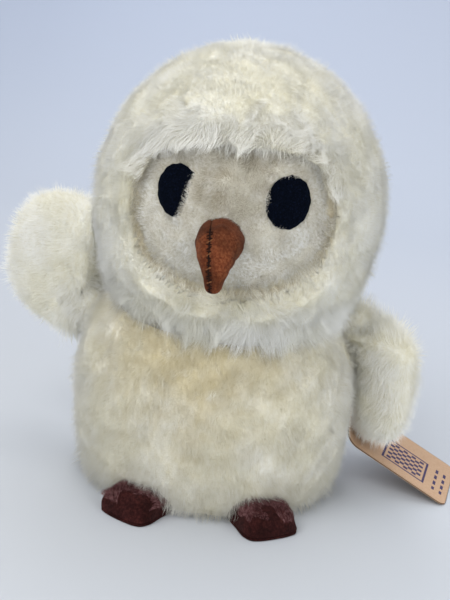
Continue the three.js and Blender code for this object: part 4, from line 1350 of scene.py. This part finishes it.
def make_card():
    inner = 1 - TAG_RIM / TAG_HALF_WIDTH
    across = np.concatenate([[-1], np.linspace(-inner, inner, 25), [1]])
    sides, walked_at, across_at, rim = ([], []), [], [], []
    for walked in tag_rows():
        point, up = tag_station(walked)
        from_end = min(walked, TAG_LENGTH - walked, TAG_CORNER)
        cut = TAG_CORNER - math.sqrt(TAG_CORNER**2 - (TAG_CORNER - from_end) ** 2)
        width = across * (TAG_HALF_WIDTH - cut)
        line = point + np.outer(width, [0, 1, 0])
        for side, way in zip(sides, (1, -1)):
            side.append(line + way * up * TAG_THICKNESS / 2)
        walked_at.append(0 * across + walked)
        across_at.append(width)
        rim.append((np.abs(across) == 1) | (walked in (0, TAG_LENGTH)))
    verts, faces = shell(np.array(sides[0]), np.array(sides[1]))
    rim = np.array(rim).ravel()
    values = {
        "walked": np.tile(np.array(walked_at).ravel() / MM, 2),
        "across": np.tile(np.array(across_at).ravel() / MM, 2),
        "bright": np.repeat([1.0, 0.0], len(rim)),
        # tan is painted shade: dark along the upper side's edges, and a little darker over the underside
        "tan": np.concatenate([rim * 1.0, np.full(len(rim), 0.35)]),
    }
    verts = verts @ TAG_TURN.T + TAG_PLACE
    card = make_object("tag_card", verts, faces, KRAFT, "tag", values, smooth_shaded=False)
    pin = bpy.data.meshes.new("hole")
    turn = turns(24)
    beside = np.cross(hole_normal, [0, 1, 0])
    ring = np.outer(np.cos(turn), beside) + np.outer(np.sin(turn), [0, 1, 0])
    ends = [hole_place + ring * TAG_HOLE_RADIUS + way * hole_normal * 3 * MM for way in (-1, 1)]
    verts, faces = capped(np.array(ends) @ TAG_TURN.T + TAG_PLACE)
    pin.from_pydata(verts.tolist(), [], [f.tolist() for block in faces for f in block])
    cutter = add_object("hole", pin)
    cut = card.modifiers.new("hole", "BOOLEAN")
    cut.operation = "DIFFERENCE"
    cut.solver = "EXACT"
    cut.object = cutter
    shape = bpy.data.meshes.new_from_object(card.evaluated_get(bpy.context.evaluated_depsgraph_get()))
    card.modifiers.clear()
    card.data = shape
    bpy.data.objects.remove(cutter)
    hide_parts("hang_tag")


make_card()
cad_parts["tag_tie"].data.materials[0] = TIE

# Fillings and linings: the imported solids' forms, rounded and made uneven
FILLING_NAMES = {"pellet_bag": "pellet_pouch", "neck_cloth": "neck_lining", "base_panel": "base_lining"}
FILLING_EDGE = 4 * MM
WELD = 0.001 * MM
# Height and width of the lumps
WADDING_LUMPS = (0.7 * MM, 9 * MM)
CLOTH_LUMPS = (0.12 * MM, 5 * MM)


def make_filling(node, mat, lump, width):
    """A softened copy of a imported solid, drawn in by up to a lump's height, to replace it."""
    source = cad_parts[node]
    mesh = source.data.copy()
    mesh.transform(source.matrix_world)
    shape = bmesh.new()
    shape.from_mesh(mesh)
    bmesh.ops.remove_doubles(shape, verts=shape.verts, dist=WELD)
    for _ in range(3):
        long = [e for e in shape.edges if e.calc_length() > FILLING_EDGE]
        if long:
            bmesh.ops.subdivide_edges(shape, edges=long, cuts=1)
    bmesh.ops.triangulate(shape, faces=shape.faces)
    shape.normal_update()
    places = np.array([v.co for v in shape.verts])
    depth = lump * (0.5 + 0.5 * np.clip(waves(places, width, 7), -1, 1))
    for vertex, inward in zip(shape.verts, depth):
        vertex.co -= vertex.normal * inward
    shape.to_mesh(mesh)
    shape.free()
    mesh.materials.clear()
    mesh.materials.append(mat)
    mesh.polygons.foreach_set("use_smooth", [True] * len(mesh.polygons))
    return add_object(FILLING_NAMES.get(node, node.replace("stuffing", "wadding")), mesh)


FILLINGS = {
    "head_stuffing": "head", "beak_stuffing": "head", "body_stuffing": "torso",
    "left_wing_stuffing": "left_wing", "right_wing_stuffing": "right_wing",
    "left_foot_stuffing": "torso", "right_foot_stuffing": "torso",
    "pellet_bag": "torso", "neck_cloth": "neck", "base_panel": "torso",
}
for node, body in FILLINGS.items():
    stuffed = node.endswith("stuffing")
    mat = WADDING if stuffed else CLOTH
    piece = make_filling(node, mat, *(WADDING_LUMPS if stuffed else CLOTH_LUMPS))
    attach(piece, body)
    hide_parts(node)


# Stage and light


def floor_paint(g):
    """A grey that turns bluer and darker farther off, and paler to the right. The darkening and the paling
    are painted light across the stage.
    """
    split = g.add("SeparateXYZ", g.place())

    def span(axis, start, end, most=1.0):
        return g.add("MapRange", split.outputs[axis], start, end, 0.0, most).outputs["Result"]

    away = g.ramp(span("Y", 0.1, 1.0), (0.0, 195, 198, 202), (0.7, 178, 185, 198), (1.0, 165, 174, 193))
    return g.mix(span("X", -0.3, 0.9, 0.7), away, (218, 225, 238))


def make_stage():
    """A floor that curves up into a wall."""
    steps = 24
    back, curve, top, side = 0.55, 0.5, 1.6, 6.0
    line = [(-side, 0.0), (back, 0.0)]
    for k in range(1, steps + 1):
        a = math.pi / 2 * k / steps
        line.append((back + curve * math.sin(a), curve * (1 - math.cos(a))))
    line.append((back + curve, top))
    verts = [(x, y, z) for y, z in line for x in (-side, side)]
    faces = [[2 * k, 2 * k + 1, 2 * k + 3, 2 * k + 2] for k in range(len(line) - 1)]
    mesh = bpy.data.meshes.new("backdrop")
    mesh.from_pydata(verts, [], faces)
    mesh.polygons.foreach_set("use_smooth", [True] * len(faces))
    mesh.materials.append(material("floor", floor_paint, 0.9, 0.1))
    add_object("backdrop", mesh)


LIGHTS = (  # name, place, height of the point it faces, size and power
    ("key", (-0.5, -0.7, 1.1), 0.08, 0.9, 7.0),
    ("fill", (0.8, -0.9, 0.45), 0.08, 0.9, 4),
    ("front", (-0.3, -1.1, 0.25), 0.06, 0.8, 2.3),
    ("top", (0.0, 0.3, 1.3), 0.1, 0.9, 3.6),
    ("rear", (-0.2, 0.85, 0.7), 0.1, 0.6, 2.6),
)


def make_lights():
    for name, place, height, size, power in LIGHTS:
        data = bpy.data.lights.new(name, "AREA")
        data.shape = "DISK"
        data.size = size
        data.energy = power
        light = add_object(name, data)
        light.location = place
        light.rotation_euler = (Vector((0, 0, height)) - Vector(place)).to_track_quat("-Z", "Y").to_euler()
        light.visible_camera = False


def make_world():
    world = bpy.data.worlds.new("world")
    world.use_nodes = True
    g = Graph(world.node_tree)
    sky = g.nodes["Background"]
    sky.inputs["Color"].default_value = (0.96, 0.98, 1.0, 1)
    sky.inputs["Strength"].default_value = 0.6
    wall = g.add("Background", (196, 204, 216)).outputs[0]  # what the camera sees past the floor
    seen = g.add("LightPath").outputs["Is Camera Ray"]
    either = g.add("MixShader", seen, sky.outputs[0], wall)
    g.links.new(either.outputs[0], g.nodes["World Output"].inputs["Surface"])
    bpy.context.scene.world = world


make_stage()
make_lights()
make_world()
bpy.context.scene.view_settings.view_transform = "Standard"
